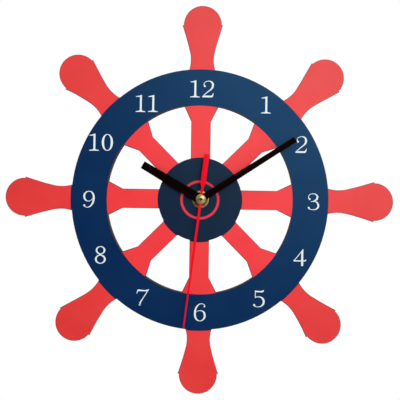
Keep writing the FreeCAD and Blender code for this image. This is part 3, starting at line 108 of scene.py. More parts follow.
def noise(tree, vector, scale, detail, roughness=0.5):
    inputs = {"Vector": vector, "Scale": scale, "Detail": detail, "Roughness": roughness}
    return addNode(tree, "TexNoise", None, inputs).outputs[0]


def objectPlace(tree):
    return addNode(tree, "TexCoord").outputs["Object"]


def stretched(tree, vector, scale):
    return addNode(tree, "Mapping", None, {"Vector": vector, "Scale": scale}).outputs[0]


def separated(tree, vector):
    return addNode(tree, "SeparateXYZ", None, {0: vector}).outputs


def radiusFrom(tree, vector):
    # distance from the clock's axis, which runs along Y
    parts = separated(tree, vector)
    squares = [times(tree, part, part) for part in (parts[0], parts[2])]
    return sums(tree, "SQRT", sums(tree, "ADD", *squares))


# Effects that several finishes share

def startGroup(name, inputs, outputs):
    tree = bpy.data.node_groups.new(name, "ShaderNodeTree")
    kind = "NodeSocketFloat"
    for label, value in inputs.items():
        socket = tree.interface.new_socket(label, in_out="INPUT", socket_type=kind)
        socket.default_value = value
    for label in outputs:
        tree.interface.new_socket(label, in_out="OUTPUT", socket_type=kind)
    source = tree.nodes.new("NodeGroupInput").outputs
    result = tree.nodes.new("NodeGroupOutput").inputs
    return tree, source, result


def oneOver(tree, value):
    return sums(tree, "DIVIDE", 1.0, value)


def buildFineGrain():
    # small even bumps, with broad patches that are a little lighter or darker
    inputs = {"Grain Size": 0.0003, "Patch Size": 0.02}
    tree, source, result = startGroup("fineGrain", inputs, ["Grain", "Patches"])
    place = objectPlace(tree)
    for size, output in (("Grain Size", "Grain"), ("Patch Size", "Patches")):
        tree.links.new(noise(tree, place, oneOver(tree, source[size]), 3.0), result[output])
    return tree


def buildSmudges():
    # roughness that wanders as on a handled surface
    inputs = {"Low": 0.3, "High": 0.5, "Size": 0.012}
    tree, source, result = startGroup("smudges", inputs, ["Roughness"])
    cloud = noise(tree, objectPlace(tree), oneOver(tree, source["Size"]), 4.0, 0.62)
    spread = sums(tree, "SUBTRACT", source["High"], source["Low"])
    level = times(tree, remap(tree, cloud, 0.3, 0.7), spread)
    tree.links.new(sums(tree, "ADD", level, source["Low"]), result["Roughness"])
    return tree


def buildTurnedMarks():
    # fine rings about the clock's axis, as a lathe tool leaves them
    tree, source, result = startGroup("turnedMarks", {"Pitch": 0.00012}, ["Rings", "Tone"])
    count = sums(tree, "DIVIDE", radiusFrom(tree, objectPlace(tree)), source["Pitch"])
    steps = addNode(tree, "CombineXYZ", None, {0: count}).outputs[0]
    tree.links.new(noise(tree, steps, 1.0, 2.0), result["Rings"])
    tree.links.new(noise(tree, steps, 0.13, 1.0), result["Tone"])
    return tree


def buildDrawnMarks():
    # long fine lines along X, as rolled or brushed sheet has
    tree, source, result = startGroup("drawnMarks", {"Width": 0.00015}, ["Lines"])
    drawn = stretched(tree, objectPlace(tree), (0.02, 1.0, 1.0))
    inputs = {0: drawn, "Scale": oneOver(tree, source["Width"])}
    scaled = addNode(tree, "VectorMath", {"operation": "SCALE"}, inputs).outputs[0]
    tree.links.new(noise(tree, scaled, 1.0, 3.0), result["Lines"])
    return tree


def buildDust():
    # sparse pale specks
    tree, source, result = startGroup("dust", {"Spacing": 0.004, "Amount": 0.08}, ["Mask"])
    inputs = {"Vector": objectPlace(tree), "Scale": oneOver(tree, source["Spacing"])}
    away = addNode(tree, "TexVoronoi", None, inputs).outputs["Distance"]
    tree.links.new(remap(tree, away, source["Amount"], 0.0), result["Mask"])
    return tree


def buildScorch():
    # how far a laser cut has browned the surface; the piece carries it as an attribute
    inputs = {"Spread": 0.5, "Unevenness": 0.35}
    tree, source, result = startGroup("scorchedEdge", inputs, ["Mask"])
    burnt = addNode(tree, "Attribute", {"attribute_name": "scorch"}).outputs["Fac"]
    ragged = noise(tree, objectPlace(tree), 900.0, 3.0)
    offset = times(tree, sums(tree, "SUBTRACT", ragged, 0.5), source["Unevenness"])
    level = sums(tree, "ADD", burnt, offset)
    edge = sums(tree, "SUBTRACT", 1.0, source["Spread"])
    low, high = sums(tree, "SUBTRACT", edge, 0.3), sums(tree, "ADD", edge, 0.3)
    tree.links.new(remap(tree, level, low, high), result["Mask"])
    return tree


effects = {
    tree.name: tree
    for tree in (
        buildFineGrain(), buildSmudges(), buildTurnedMarks(),
        buildDrawnMarks(), buildDust(), buildScorch(),
    )
}


def effect(tree, name, **values):
    node = addNode(tree, "Group", {"node_tree": effects[name]})
    for label, value in values.items():
        node.inputs[label.replace("_", " ")].default_value = value
    return node.outputs


def fineGrain(tree, grain, patch):
    # both in mm
    return effect(tree, "fineGrain", Grain_Size=grain * mm, Patch_Size=patch * mm)


def startFinish(name, **values):
    material = bpy.data.materials.new(name)
    material.use_nodes = True
    shader = material.node_tree.nodes["Principled BSDF"].inputs
    for label, value in values.items():
        shader[label.replace("_", " ")].default_value = value
    return material, material.node_tree, shader


def endFinish(material, shader, tone, rough, height, distance, strength=0.5):
    # rough is one output, or the values it wanders between and the size of its patches
    tree = material.node_tree
    if isinstance(rough, tuple):
        low, high, size = rough
        rough = effect(tree, "smudges", Low=low, High=high, Size=size)["Roughness"]
    inputs = {"Height": height, "Distance": distance, "Strength": strength}
    bump = addNode(tree, "Bump", None, inputs).outputs[0]
    for label, output in (("Base Color", tone), ("Roughness", rough), ("Normal", bump)):
        tree.links.new(output, shader[label])
    return material


# Finishes

def mouldedPlastic(name, colour, shade, low, high, grain, bump, **values):
    material, tree, shader = startFinish(name, **values)
    grains = fineGrain(tree, grain=grain, patch=9)
    tone = mixByLevel(tree, grains["Patches"], 0.3, 0.7, 1.0, colour, shade)
    tone = mixByLevel(tree, grains["Grain"], 0.35, 0.75, 0.35, tone, shade)
    rough = (low, high, 0.012)
    return endFinish(material, shader, tone, rough, grains["Grain"], bump * mm)


def turnedMetal(name, colour, shade, low, high, pitch=0.12):
    material, tree, shader = startFinish(name, Metallic=1.0)
    marks = effect(tree, "turnedMarks", Pitch=pitch * mm)
    grains = fineGrain(tree, grain=0.2, patch=2.5)
    tone = mixByLevel(tree, marks["Tone"], 0.35, 0.65, 1.0, colour, shade)
    tone = mixByLevel(tree, grains["Patches"], 0.45, 0.75, 0.5, tone, shade)
    return endFinish(material, shader, tone, (low, high, 0.003), marks["Rings"], 0.000006, 0.6)


def dimpledBrass():
    # the lacquered cap: warm patches, its lower left side painted darker as painted shade, and
    # painted shade and a painted dark reflection in its dimple
    material, tree, shader = startFinish("capBrass", Specular_IOR_Level=0.2)
    place = objectPlace(tree)
    rings = effect(tree, "turnedMarks", Pitch=0.00009)["Rings"]
    tarnish = noise(tree, place, 900.0, 3.0, 0.6)
    parts = separated(tree, place)
    lean = sums(tree, "ADD", parts[2], times(tree, parts[0], 0.7))
    tone = mixByLevel(tree, tarnish, 0.4, 0.6, 1.0, (229, 215, 166), (198, 176, 108))
    tone = mixByLevel(tree, tarnish, 0.54, 0.68, 0.6, tone, (150, 104, 54))
    # painted shade: the lower left side of the dome is painted darker brown
    tone = mixByLevel(tree, lean, 0.001, -0.003, 0.75, tone, (120, 88, 44))
    # painted shade and a painted dark reflection: the dimple's middle is painted dark brown and
    # made less metallic
    dimpleShade = remap(tree, radiusFrom(tree, stretched(tree, place, (0.7, 1.0, 1.0))), 0.0012, 0.0007)
    tone = mixColour(tree, dimpleShade, tone, (64, 26, 12))
    tree.links.new(remap(tree, dimpleShade, 0.0, 1.0, 0.88, 0.1), shader["Metallic"])
    height = sums(tree, "ADD", rings, times(tree, tarnish, 3.0))
    return endFinish(material, shader, tone, (0.26, 0.42, 0.002), height, 0.00002, 0.8)


def sheetMetal(name, colour, shade, low, high, width):
    material, tree, shader = startFinish(name, Metallic=1.0)
    lines = effect(tree, "drawnMarks", Width=width * mm)["Lines"]
    patches = fineGrain(tree, grain=0.4, patch=6)["Patches"]
    tone = mixByLevel(tree, patches, 0.3, 0.7, 1.0, colour, shade)
    tone = mixByLevel(tree, lines, 0.4, 0.7, 0.4, tone, shade)
    return endFinish(material, shader, tone, (low, high, 0.008), lines, 0.000006)


def printedInk(name, colour, shade, low, high, **values):
    # a printed film: even colour with the fine cell of the print and a little dust
    material, tree, shader = startFinish(name, **values)
    grains = fineGrain(tree, grain=0.22, patch=30)
    tone = mixByLevel(tree, grains["Patches"], 0.3, 0.7, 1.0, colour, shade)
    tone = mixByLevel(tree, grains["Grain"], 0.45, 0.75, 0.3, tone, shade)
    dust = effect(tree, "dust", Spacing=0.006, Amount=0.035)["Mask"]
    tone = mixColour(tree, times(tree, dust, 0.18), tone, (200, 200, 198))
    return endFinish(material, shader, tone, (low, high, 0.02), grains["Grain"], 0.000006, 0.4)


boardLook = {
    # the red's two tones, brighter on the spokes and duller on the handles as painted light, and
    # where one passes into the other
    "spoke": ((241, 45, 51), (236, 39, 46)),
    "handle": ((225, 48, 46), (220, 42, 41)),
    "handleReach": (60 * mm, 135 * mm),
    "burnt": (70, 40, 26),
    "charred": (30, 16, 12),
    "bare": ((150, 108, 66), (124, 86, 50)),
}


def boardPaint():
    material, tree, shader = startFinish("boardPaint", Specular_IOR_Level=0.42)
    grains = fineGrain(tree, grain=0.6, patch=30)
    patches = remap(tree, grains["Patches"], 0.3, 0.7)
    # painted light: the red turns from the brighter spokes to the duller handles with the distance
    # from the axis
    outward = remap(tree, radiusFrom(tree, objectPlace(tree)), *boardLook["handleReach"])
    handle = mixColour(tree, patches, *boardLook["handle"])
    spoke = mixColour(tree, patches, *boardLook["spoke"])
    tone = mixColour(tree, outward, spoke, handle)
    tone = mixByLevel(tree, grains["Grain"], 0.5, 0.8, 0.25, tone, boardLook["handle"][1])
    burnt = effect(tree, "scorchedEdge", Spread=0.45)["Mask"]
    tone = mixColour(tree, burnt, tone, boardLook["burnt"])
    return endFinish(material, shader, tone, (0.3, 0.38, 0.02), grains["Grain"], 0.000008, 0.3)


def burntWall():
    # the cut side: brown char with fine lines straight through the sheet
    material, tree, shader = startFinish("burntWall", Specular_IOR_Level=0.25)
    place = objectPlace(tree)
    streaks = noise(tree, stretched(tree, place, (1.0, 0.08, 1.0)), 1400.0, 2.0)
    layers = noise(tree, stretched(tree, place, (0.05, 1.0, 0.05)), 2200.0, 2.0)
    tone = mixByLevel(tree, streaks, 0.35, 0.65, 1.0, boardLook["charred"], boardLook["burnt"])
    tone = mixByLevel(tree, layers, 0.5, 0.8, 0.6, tone, (92, 58, 38))
    return endFinish(material, shader, tone, (0.6, 0.85, 0.004), streaks, 0.00004, 0.6)


def rawFibreboard():
    # the bare back: short crossed fibres, specks of bark, smoke marks by the cuts
    material, tree, shader = startFinish("rawFibreboard", Specular_IOR_Level=0.2)
    place = objectPlace(tree)
    along = noise(tree, stretched(tree, place, (1.0, 1.0, 0.12)), 1500.0, 3.0)
    across = noise(tree, stretched(tree, place, (0.12, 1.0, 1.0)), 1500.0, 3.0)
    fibres = sums(tree, "MAXIMUM", along, across)
    patches = fineGrain(tree, grain=1, patch=15)["Patches"]
    tone = mixByLevel(tree, patches, 0.3, 0.7, 1.0, *boardLook["bare"])
    tone = mixByLevel(tree, fibres, 0.5, 0.72, 0.55, tone, (176, 136, 92))
    bark = effect(tree, "dust", Spacing=0.0022, Amount=0.13)["Mask"]
    tone = mixColour(tree, times(tree, bark, 0.5), tone, (84, 56, 34))
    smoke = effect(tree, "scorchedEdge", Spread=0.75, Unevenness=0.9)["Mask"]
    tone = mixColour(tree, smoke, tone, (66, 40, 26))
    rough = remap(tree, fibres, 0.3, 0.7, 0.7, 0.9)
    return endFinish(material, shader, tone, rough, fibres, 0.00003)


def copperCoil():
    # a wound coil: turns side by side along X, each a fine varnished wire
    material, tree, shader = startFinish("copperCoil", Metallic=1.0, Coat_Roughness=0.12)
    across = separated(tree, objectPlace(tree))[0]
    turn = sums(tree, "SINE", times(tree, across, 2 * math.pi / 0.00012))
    patches = fineGrain(tree, grain=0.2, patch=2)["Patches"]
    # painted shade: each turn is painted dark brown towards the grooves between turns and bright on
    # its crown
    tone = mixByLevel(tree, turn, -1.0, 0.2, 1.0, (96, 40, 18), (206, 112, 62))
    tone = mixByLevel(tree, patches, 0.4, 0.7, 0.4, tone, (170, 76, 38))
    tree.links.new(remap(tree, patches, 0.3, 0.7, 0.4, 0.8), shader["Coat Weight"])
    return endFinish(material, shader, tone, (0.25, 0.4, 0.002), turn, 0.00003, 0.8)


def laminatedSteel():
    material, tree, shader = startFinish("laminatedSteel", Metallic=1.0)
    depth = separated(tree, objectPlace(tree))[1]
    layer = sums(tree, "SINE", times(tree, depth, 2 * math.pi / 0.0005))
    patches = fineGrain(tree, grain=0.3, patch=3)["Patches"]
    tone = mixByLevel(tree, patches, 0.3, 0.7, 1.0, (128, 132, 138), (102, 106, 114))
    tone = mixByLevel(tree, layer, 0.6, 1.0, 0.7, tone, (58, 60, 66))
    return endFinish(material, shader, tone, (0.35, 0.5, 0.004), layer, 0.00002, 0.4)


def circuitBoard():
    # solder mask over copper tracks that run straight and turn at right angles
    material, tree, shader = startFinish("circuitBoard", Coat_Roughness=0.15)
    place = objectPlace(tree)
    inputs = {"Vector": place, "Scale": 420.0}
    cells = addNode(tree, "TexVoronoi", {"distance": "CHEBYCHEV"}, inputs)
    tracks = remap(tree, cells.outputs["Distance"], 0.34, 0.42)
    pads = addNode(tree, "TexVoronoi", None, {"Vector": place, "Scale": 260.0})
    solder = remap(tree, pads.outputs["Distance"], 0.16, 0.12)
    tone = mixColour(tree, tracks, (16, 84, 48), (30, 112, 62))
    tone = mixColour(tree, solder, tone, (190, 190, 188))
    tree.links.new(times(tree, solder, 0.9), shader["Metallic"])
    tree.links.new(remap(tree, solder, 0.0, 1.0, 0.6, 0.0), shader["Coat Weight"])
    height = sums(tree, "MAXIMUM", tracks, solder)
    return endFinish(material, shader, tone, (0.3, 0.45, 0.004), height, 0.00003)


# what stays bare of the battery's ends, where its sleeve changes colour, and its blur
batteryLook = {"bare": (1 * mm, 2 * mm), "change": 34 * mm, "blur": 0.2 * mm}


def batterySleeve():
    # a plain two-tone sleeve between bare steel ends; the cell lies along X
    material, tree, shader = startFinish("batterySleeve", Coat_Roughness=0.1)
    box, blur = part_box("battery"), batteryLook["blur"]
    low, high = box[0].x + batteryLook["bare"][0], box[1].x - batteryLook["bare"][1]
    change = box[0].x + batteryLook["change"]
    place = separated(tree, objectPlace(tree))[0]
    lowEnd, highEnd = remap(tree, place, low + blur, low), remap(tree, place, high - blur, high)
    ends = sums(tree, "MAXIMUM", lowEnd, highEnd)
    band = remap(tree, place, change, change + blur)
    grains = fineGrain(tree, grain=0.3, patch=8)
    sleeve = mixColour(tree, band, (34, 36, 40), (178, 128, 62))
    sleeve = mixByLevel(tree, grains["Patches"], 0.4, 0.8, 0.3, sleeve, (70, 62, 54))
    tone = mixColour(tree, ends, sleeve, (196, 196, 194))
    metallic = sums(tree, "MAXIMUM", ends, times(tree, band, 0.5))
    tree.links.new(remap(tree, metallic, 0.0, 1.0), shader["Metallic"])
    tree.links.new(remap(tree, ends, 0.0, 1.0, 0.5, 0.0), shader["Coat Weight"])
    return endFinish(material, shader, tone, (0.22, 0.36, 0.01), grains["Grain"], 0.000005, 0.3)


def clearPlate():
    material, tree, shader = startFinish("clearPlate", Transmission_Weight=1.0, IOR=1.49)
    grains = fineGrain(tree, grain=0.6, patch=10)
    tone = mixByLevel(tree, grains["Patches"], 0.3, 0.7, 1.0, (236, 240, 240), (222, 230, 232))
    return endFinish(material, shader, tone, (0.05, 0.16, 0.006), grains["Grain"], 0.000004, 0.3)


wheelLooks = [boardPaint(), burntWall(), rawFibreboard()]
capBrass = dimpledBrass()
# the nut's brass is painted darker and browner than the washer's, as painted shade
nutBrass = turnedMetal("shadedNutBrass", (160, 118, 66), (112, 76, 40), 0.3, 0.42)
finishes = {
    "board_red": wheelLooks[0],
    "print_navy": printedInk(
        "navyInk", (0, 33, 81), (0, 29, 76), 0.27, 0.34,
        Specular_IOR_Level=0.5, Specular_Tint=(0.23, 0.69, 1.0, 1.0),
    ),
    "print_navy_hub": printedInk(
        "hubInk", (0, 25, 52), (0, 20, 44), 0.28, 0.36,
        Specular_IOR_Level=0.42, Specular_Tint=(0.4, 0.67, 1.0, 1.0),
    ),
    "print_red": printedInk(
        "redLineInk", (228, 50, 70), (220, 44, 62), 0.3, 0.38, Specular_IOR_Level=0.2,
    ),
    "print_white": printedInk(
        "whiteInk", (228, 236, 238), (220, 229, 232), 0.36, 0.46, Specular_IOR_Level=0.3,
    ),
    "hand_black": mouldedPlastic(
        "satinBlack", (8, 2, 1), (4, 1, 1), 0.42, 0.56, 0.2, 0.006,
        Specular_IOR_Level=0.05, Specular_Tint=(1.0, 0.35, 0.3, 1.0),
    ),
    "hand_red": mouldedPlastic(
        "redLacquer", (237, 0, 31), (229, 0, 26), 0.34, 0.46, 0.3, 0.004, Specular_IOR_Level=0.05,
    ),
    "magnet_grey": mouldedPlastic(
        "sinteredMagnet", (72, 72, 76), (50, 50, 54), 0.45, 0.62, 0.12, 0.014, Metallic=0.6,
    ),
    "plate_clear": clearPlate(),
    "silicon_steel": laminatedSteel(),
    "copper_wire": copperCoil(),
    "circuit_green": circuitBoard(),
    "battery_wrap": batterySleeve(),
}
# name, colour, shade, least and most roughness, and the size of the marks in mm
metals = {
    "polished_brass": (turnedMetal, "turnedBrass", (198, 166, 108), (158, 124, 70), 0.26, 0.4),
    "steel_pin": (turnedMetal, "turnedSteel", (188, 190, 194), (150, 152, 158), 0.18, 0.3, 0.08),
    "zinc_steel": (sheetMetal, "zincSteel", (178, 182, 184), (146, 150, 156), 0.3, 0.46, 0.2),
    "crystal_can": (sheetMetal, "crystalCan", (198, 198, 196), (166, 166, 168), 0.2, 0.34, 0.1),
    "contact_nickel": (
        sheetMetal, "nickelStrip", (196, 194, 186), (162, 158, 150), 0.22, 0.36, 0.12,
    ),
}
# the same, but last the size of the grain and its height
plastics = {
    "case_black": ("caseBlack", (24, 24, 25), (15, 15, 16), 0.38, 0.58, 0.3, 0.02),
    "washer_rubber": ("washerRubber", (30, 29, 28), (20, 19, 19), 0.7, 0.86, 0.4, 0.03),
    "plate_white": ("plateWhite", (228, 226, 218), (214, 211, 202), 0.4, 0.55, 0.3, 0.012),
    "gear_white": ("gearWhite", (236, 234, 226), (224, 221, 210), 0.32, 0.46, 0.2, 0.008),
    "bobbin_plastic": ("bobbinPlastic", (206, 198, 176), (188, 178, 154), 0.4, 0.55, 0.3, 0.01),
    "chip_black": ("chipResin", (16, 16, 17), (9, 9, 10), 0.3, 0.5, 0.5, 0.04),
    "knob_grey": ("knobGrey", (62, 63, 66), (48, 49, 52), 0.4, 0.56, 0.3, 0.015),
}
for slot, (make, *values) in metals.items():
    finishes[slot] = make(*values)
for slot, values in plastics.items():
    finishes[slot] = mouldedPlastic(*values)
# the end of the second hand's spindle shows in the cap, painted dark brown as painted shade and a
# painted dark reflection in the dimple
spindleShadeSteel = turnedMetal("spindleShadeSteel", (104, 60, 40), (78, 40, 24), 0.35, 0.5, 0.08)
for name, node in nodes.items():
    look = spindleShadeSteel if name == "seconds_spindle" else finishes[slotOf[name]]
    node.data.materials.clear()
    node.data.materials.append(look)
print("finishes:", len(finishes), "effects:", len(effects))


# Mesh helpers

# how near points count as one, or as lying at a level
near = {
    "node": 0.002 * mm,
    "spun": 0.001 * mm,
    "finished": 0.0005 * mm,
    "face": 0.01 * mm,
    "edge": 0.02 * mm,
}
# by how many degrees an edge bends to be shaded sharp, to be rounded, or to be a plate's rim,
# and by how few it bends to be taken out
bend = {"shaded": 32, "rounded": 35, "rim": 60, "flat": 0.6, "flatPrint": 0.5}


def copyOfNode(name):
    # a node's mesh is loose triangles, so the copy is merged before it is worked on
    mesh = bmesh.new()
    mesh.from_mesh(nodes[name].data)
    bmesh.ops.remove_doubles(mesh, verts=mesh.verts, dist=near["node"])
    return mesh


def faceOutward(mesh):
    bmesh.ops.recalc_face_normals(mesh, faces=mesh.faces)


def addObject(name, data):
    item = bpy.data.objects.new(name, data)
    bpy.context.scene.collection.objects.link(item)
    return item


def meshObject(mesh, name):
    data = bpy.data.meshes.new(name)
    mesh.to_mesh(data)
    mesh.free()
    return addObject(name, data)


def shadeByAngle(mesh, degrees):
    for face in mesh.faces:
        face.smooth = True
    for edge in mesh.edges:
        edge.smooth = edge.calc_face_angle(math.pi) < math.radians(degrees)


def finishPiece(mesh, name, replaced, looks=(), degrees=bend["shaded"]):
    # makes the object, gives it its finish and lets it stand for its nodes
    bmesh.ops.remove_doubles(mesh, verts=mesh.verts, dist=near["finished"])
    faceOutward(mesh)
    shadeByAngle(mesh, degrees)
    piece = meshObject(mesh, name)
    for look in looks or [finishes[slotOf[replaced[0]]]]:
        piece.data.materials.append(look)
    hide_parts(*replaced)
    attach(piece, bodyOf[replaced[0]])
    return piece


def sharpEdges(mesh, sharper, front=None):
    # sharp edges, all of them or only those that lie at the given Y
    return [
        edge for edge in mesh.edges
        if edge.calc_face_angle(0.0) >= math.radians(sharper)
        and (front is None or all(abs(vert.co.y - front) < near["edge"] for vert in edge.verts))
    ]


def roundEdges(mesh, edges, width, segments=2):
    bmesh.ops.bevel(
        mesh, geom=edges, offset=width, offset_type="OFFSET", segments=segments,
        profile=0.5, affect="EDGES", clamp_overlap=True, material=-1,
    )


def mergeFlat(mesh, degrees):
    limit = math.radians(degrees)
    bmesh.ops.dissolve_limit(mesh, angle_limit=limit, verts=mesh.verts, edges=mesh.edges)


def softenedCopy(node, name, width, segments=2, sharper=bend["rounded"], front=None, looks=()):
    mesh = copyOfNode(node)
    mergeFlat(mesh, bend["flat"])
    roundEdges(mesh, sharpEdges(mesh, sharper, front), width, segments)
    return finishPiece(mesh, name, [node], looks)


def spunProfile(points, steps):
    # turns a profile of (radius, level) about the clock's axis; level runs towards the viewer
    mesh = bmesh.new()
    rows = []
    for step in range(steps):
        turn = 2 * math.pi * step / steps
        across, up = math.cos(turn), -math.sin(turn)
        rows.append([mesh.verts.new((r * across, -level, r * up)) for r, level in points])
    for row, after in zip(rows, rows[1:] + rows[:1]):
        for corners in zip(row, row[1:], after[1:], after):
            mesh.faces.new(corners)
    bmesh.ops.remove_doubles(mesh, verts=mesh.verts, dist=near["spun"])
    faceOutward(mesh)
    return mesh


def boxProfile(inner, outer, back, front):
    return [(inner, back), (inner, front), (outer, front), (outer, back), (inner, back)]


def report(stage, *pieces):
    print(stage + ":", [len(piece.data.polygons) for piece in pieces], "faces")


# The wheel: painted front, burnt cut, bare back

wheel = {
    "char": 0.2 * mm,
    "charLevel": 0.75,
    "fade": 0.3 * mm,
    "smoke": 1.3 * mm,
    "round": 0.1 * mm,
    "front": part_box("wheel_board")[0].y,
    "back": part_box("wheel_board")[1].y,
    # the ring of the real board is a little taller than it is wide
    "tall": 0.65 * mm,
    "tallReach": ((0.0, 0.0), (40 * mm, 0.0), (72 * mm, 0.8), (101 * mm, 1.0), (124 * mm, 0.0)),
    # its openings are cut a little close, and its hub and spokes stand a little left
    "openings": -0.2 * mm,
    "openingsReach": ((0.0, 0.0), (66 * mm, 0.0), (71 * mm, 1.0), (73.5 * mm, 1.0), (80 * mm, 0.0)),
    "hubAside": -0.31 * mm,
    "hubReach": ((0.0, 1.0), (60 * mm, 1.0), (72 * mm, 0.0)),
    # the burnt rim round the openings: its middle width, how much it varies, where it is narrowest
    "rim": (0.95 * mm, 0.42 * mm, math.radians(82)),
    "rimReach": (70.6 * mm, 73.6 * mm),
    # how far out the left and the right shoulder of each handle is cut, clockwise from the top
    "shoulders": (
        (0.5, 1.2), (1.9, 1.7), (0.8, 0.6), (0.5, -0.6),
        (0.4, 0.4), (0.1, 1.6), (0.8, 0.6), (-0.6, 0.9),
    ),
    "shoulderAside": 15.3 * mm,
    "shoulderOut": 133.9 * mm,
    "shoulderReach": 7 * mm,
    "handles": 8,
    "facing": 0.99,
}


def between(table, value):
    # a table of radius and share, read between its rows; beyond them the last share holds
    for (start, low), (end, high) in zip(table, table[1:]):
        if value <= end:
            return low + (high - low) * (value - start) / (end - start)
    return table[-1][1]


def shoulderShift(radius, turn):
    # how far, and in which direction, a point near a handle's shoulder moves
    step = 2 * math.pi / wheel["handles"]
    nearest = round(turn / step)
    handle = nearest % wheel["handles"]
    aside = radius * math.sin(turn - nearest * step)
    out = radius * math.cos(turn - nearest * step)
    away = math.hypot(abs(aside) - wheel["shoulderAside"], out - wheel["shoulderOut"])
    away = min(away / wheel["shoulderReach"], 1.0)
    share = 1.0 - away * away * (3.0 - 2.0 * away)
    return share * wheel["shoulders"][handle][aside > 0.0] * mm, handle * step


def asCut(mesh, board=True):
    # the print follows only the board's tallness, the board all that was cut unevenly
    for vert in mesh.verts:
        radius = math.hypot(vert.co.x, vert.co.z)
        turn = math.atan2(vert.co.x, vert.co.z)
        outward = wheel["tall"] * between(wheel["tallReach"], radius) * math.cos(2 * turn)
        shift, axis, aside = 0.0, 0.0, 0.0
        if board:
            outward += wheel["openings"] * between(wheel["openingsReach"], radius)
            shift, axis = shoulderShift(radius, turn)
            aside = wheel["hubAside"] * between(wheel["hubReach"], radius)
        vert.co.x += outward * math.sin(turn) + shift * math.sin(axis) + aside
        vert.co.z += outward * math.cos(turn) + shift * math.cos(axis)
    return mesh


def widenRim(verts):
    # moves the inner side of the burnt rim out round the openings, and gives back what it moved
    middle, varies, narrowest = wheel["rim"]
    moved = []
    for vert in verts:
        radius = math.hypot(vert.co.x, vert.co.z)
        if wheel["rimReach"][0] < radius < wheel["rimReach"][1]:
            turn = math.atan2(vert.co.x, vert.co.z)
            outward = middle - varies * math.cos(turn - narrowest) - wheel["char"]
            vert.co.x += outward * math.sin(turn)
            vert.co.z += outward * math.cos(turn)
            moved.append(vert)
    return moved


def flatFaces(mesh, level):
    return [
        face for face in mesh.faces
        if all(abs(vert.co.y - level) < near["face"] for vert in face.verts)
    ]


def insetFlat(mesh, faces, margin):
    return bmesh.ops.inset_region(
        mesh, faces=faces, thickness=margin, use_even_offset=True, use_boundary=True,
    )["faces"]


def makeWheel():
    mesh = asCut(copyOfNode("wheel_board"))
    scorch = mesh.verts.layers.float.new("scorch")
    insetFlat(mesh, flatFaces(mesh, wheel["back"]), wheel["smoke"])
    front = flatFaces(mesh, wheel["front"])
    insetFlat(mesh, front, wheel["char"])
    inner = {vert for face in front for vert in face.verts}
    for vert in inner:
        vert[scorch] = wheel["charLevel"]
    for vert in widenRim(inner):
        vert[scorch] = 1.0
    insetFlat(mesh, front, wheel["fade"])
    for vert in {vert for face in front for vert in face.verts}:
        vert[scorch] = 0.0
    roundEdges(mesh, sharpEdges(mesh, bend["rim"], wheel["front"]), wheel["round"])
    faceOutward(mesh)
    for face in mesh.faces:
        backward = face.normal.y
        painted, bare = backward < -wheel["facing"], backward > wheel["facing"]
        face.material_index = 0 if painted else 2 if bare else 1
    for vert in mesh.verts:
        if any(face.material_index == 1 for face in vert.link_faces):
            vert[scorch] = 1.0
    return finishPiece(mesh, "wheelBoard", ["wheel_board"], wheelLooks)


report("wheel board", makeWheel())


# The prints on it, a little out of register as the real ones are

prints = {
    "shift": (-0.35 * mm, -0.42 * mm),
    "ringOuter": 100.46 * mm,
    "ringInner": 72.5 * mm,
    "hubOuter": 32.73 * mm,
    "hubBore": 6.68 * mm,
    "lineShift": (-0.4 * mm, -0.42 * mm),
    "lineRadius": 14.2 * mm,
    "lineWidth": 1.9 * mm,
    "steps": 256,
    # how far a trimming ring stands out of its film, and how much larger the trimming is done
    "spare": 1 * mm,
    "enlarged": 1000.0,
}


def annulus(inner, outer, back, front, centre, boreCentre=None):
    mesh = spunProfile(boxProfile(inner, outer, back, front), prints["steps"])
    middle = (inner + outer) / 2
    rings = {True: [], False: []}
    for vert in mesh.verts:
        rings[math.hypot(vert.co.x, vert.co.z) < middle].append(vert)
    for inside, place in ((True, boreCentre or centre), (False, centre)):
        bmesh.ops.translate(mesh, verts=rings[inside], vec=(place[0], 0.0, place[1]))
    return mesh


def scaleMesh(mesh, factor):
    bmesh.ops.scale(mesh, vec=(factor, factor, factor), verts=mesh.verts)


def trimmedBy(mesh, cutter, name, crossing=False):
    # the part of the mesh inside the cutter, found at a size where the solver is exact enough
    for part in (mesh, cutter):
        scaleMesh(part, prints["enlarged"])
    item, cutItem = meshObject(mesh, name + "Whole"), meshObject(cutter, name + "Cut")
    trim = item.modifiers.new("trim", "BOOLEAN")
    trim.operation, trim.solver = "INTERSECT", "EXACT"
    trim.object, trim.use_self = cutItem, crossing
    bpy.context.view_layer.update()
    graph = bpy.context.evaluated_depsgraph_get()
    cut = bmesh.new()
    cut.from_mesh(item.evaluated_get(graph).data)
    scaleMesh(cut, 1 / prints["enlarged"])
    for spare in (item, cutItem):
        bpy.data.objects.remove(spare)
    return cut


def ringAround(low, high, inner, outer, centre, boreCentre=None):
    # a ring that stands out of a film on both sides, to trim it by
    back, front = -high.y - prints["spare"], -low.y + prints["spare"]
    return annulus(inner, outer, back, front, centre, boreCentre)


def thicken(mesh, depth):
    # lays the far side and the rim face by face, so that they come in the same order each run
    sheet, rim = mesh.faces[:], [tuple(edge.verts) for edge in mesh.edges if edge.is_boundary]
    far = {vert: mesh.verts.new(vert.co + Vector((0.0, depth, 0.0))) for vert in mesh.verts[:]}
    for face in sheet:
        mesh.faces.new([far[vert] for vert in face.verts])
    for start, end in rim:
        mesh.faces.new((start, end, far[end], far[start]))


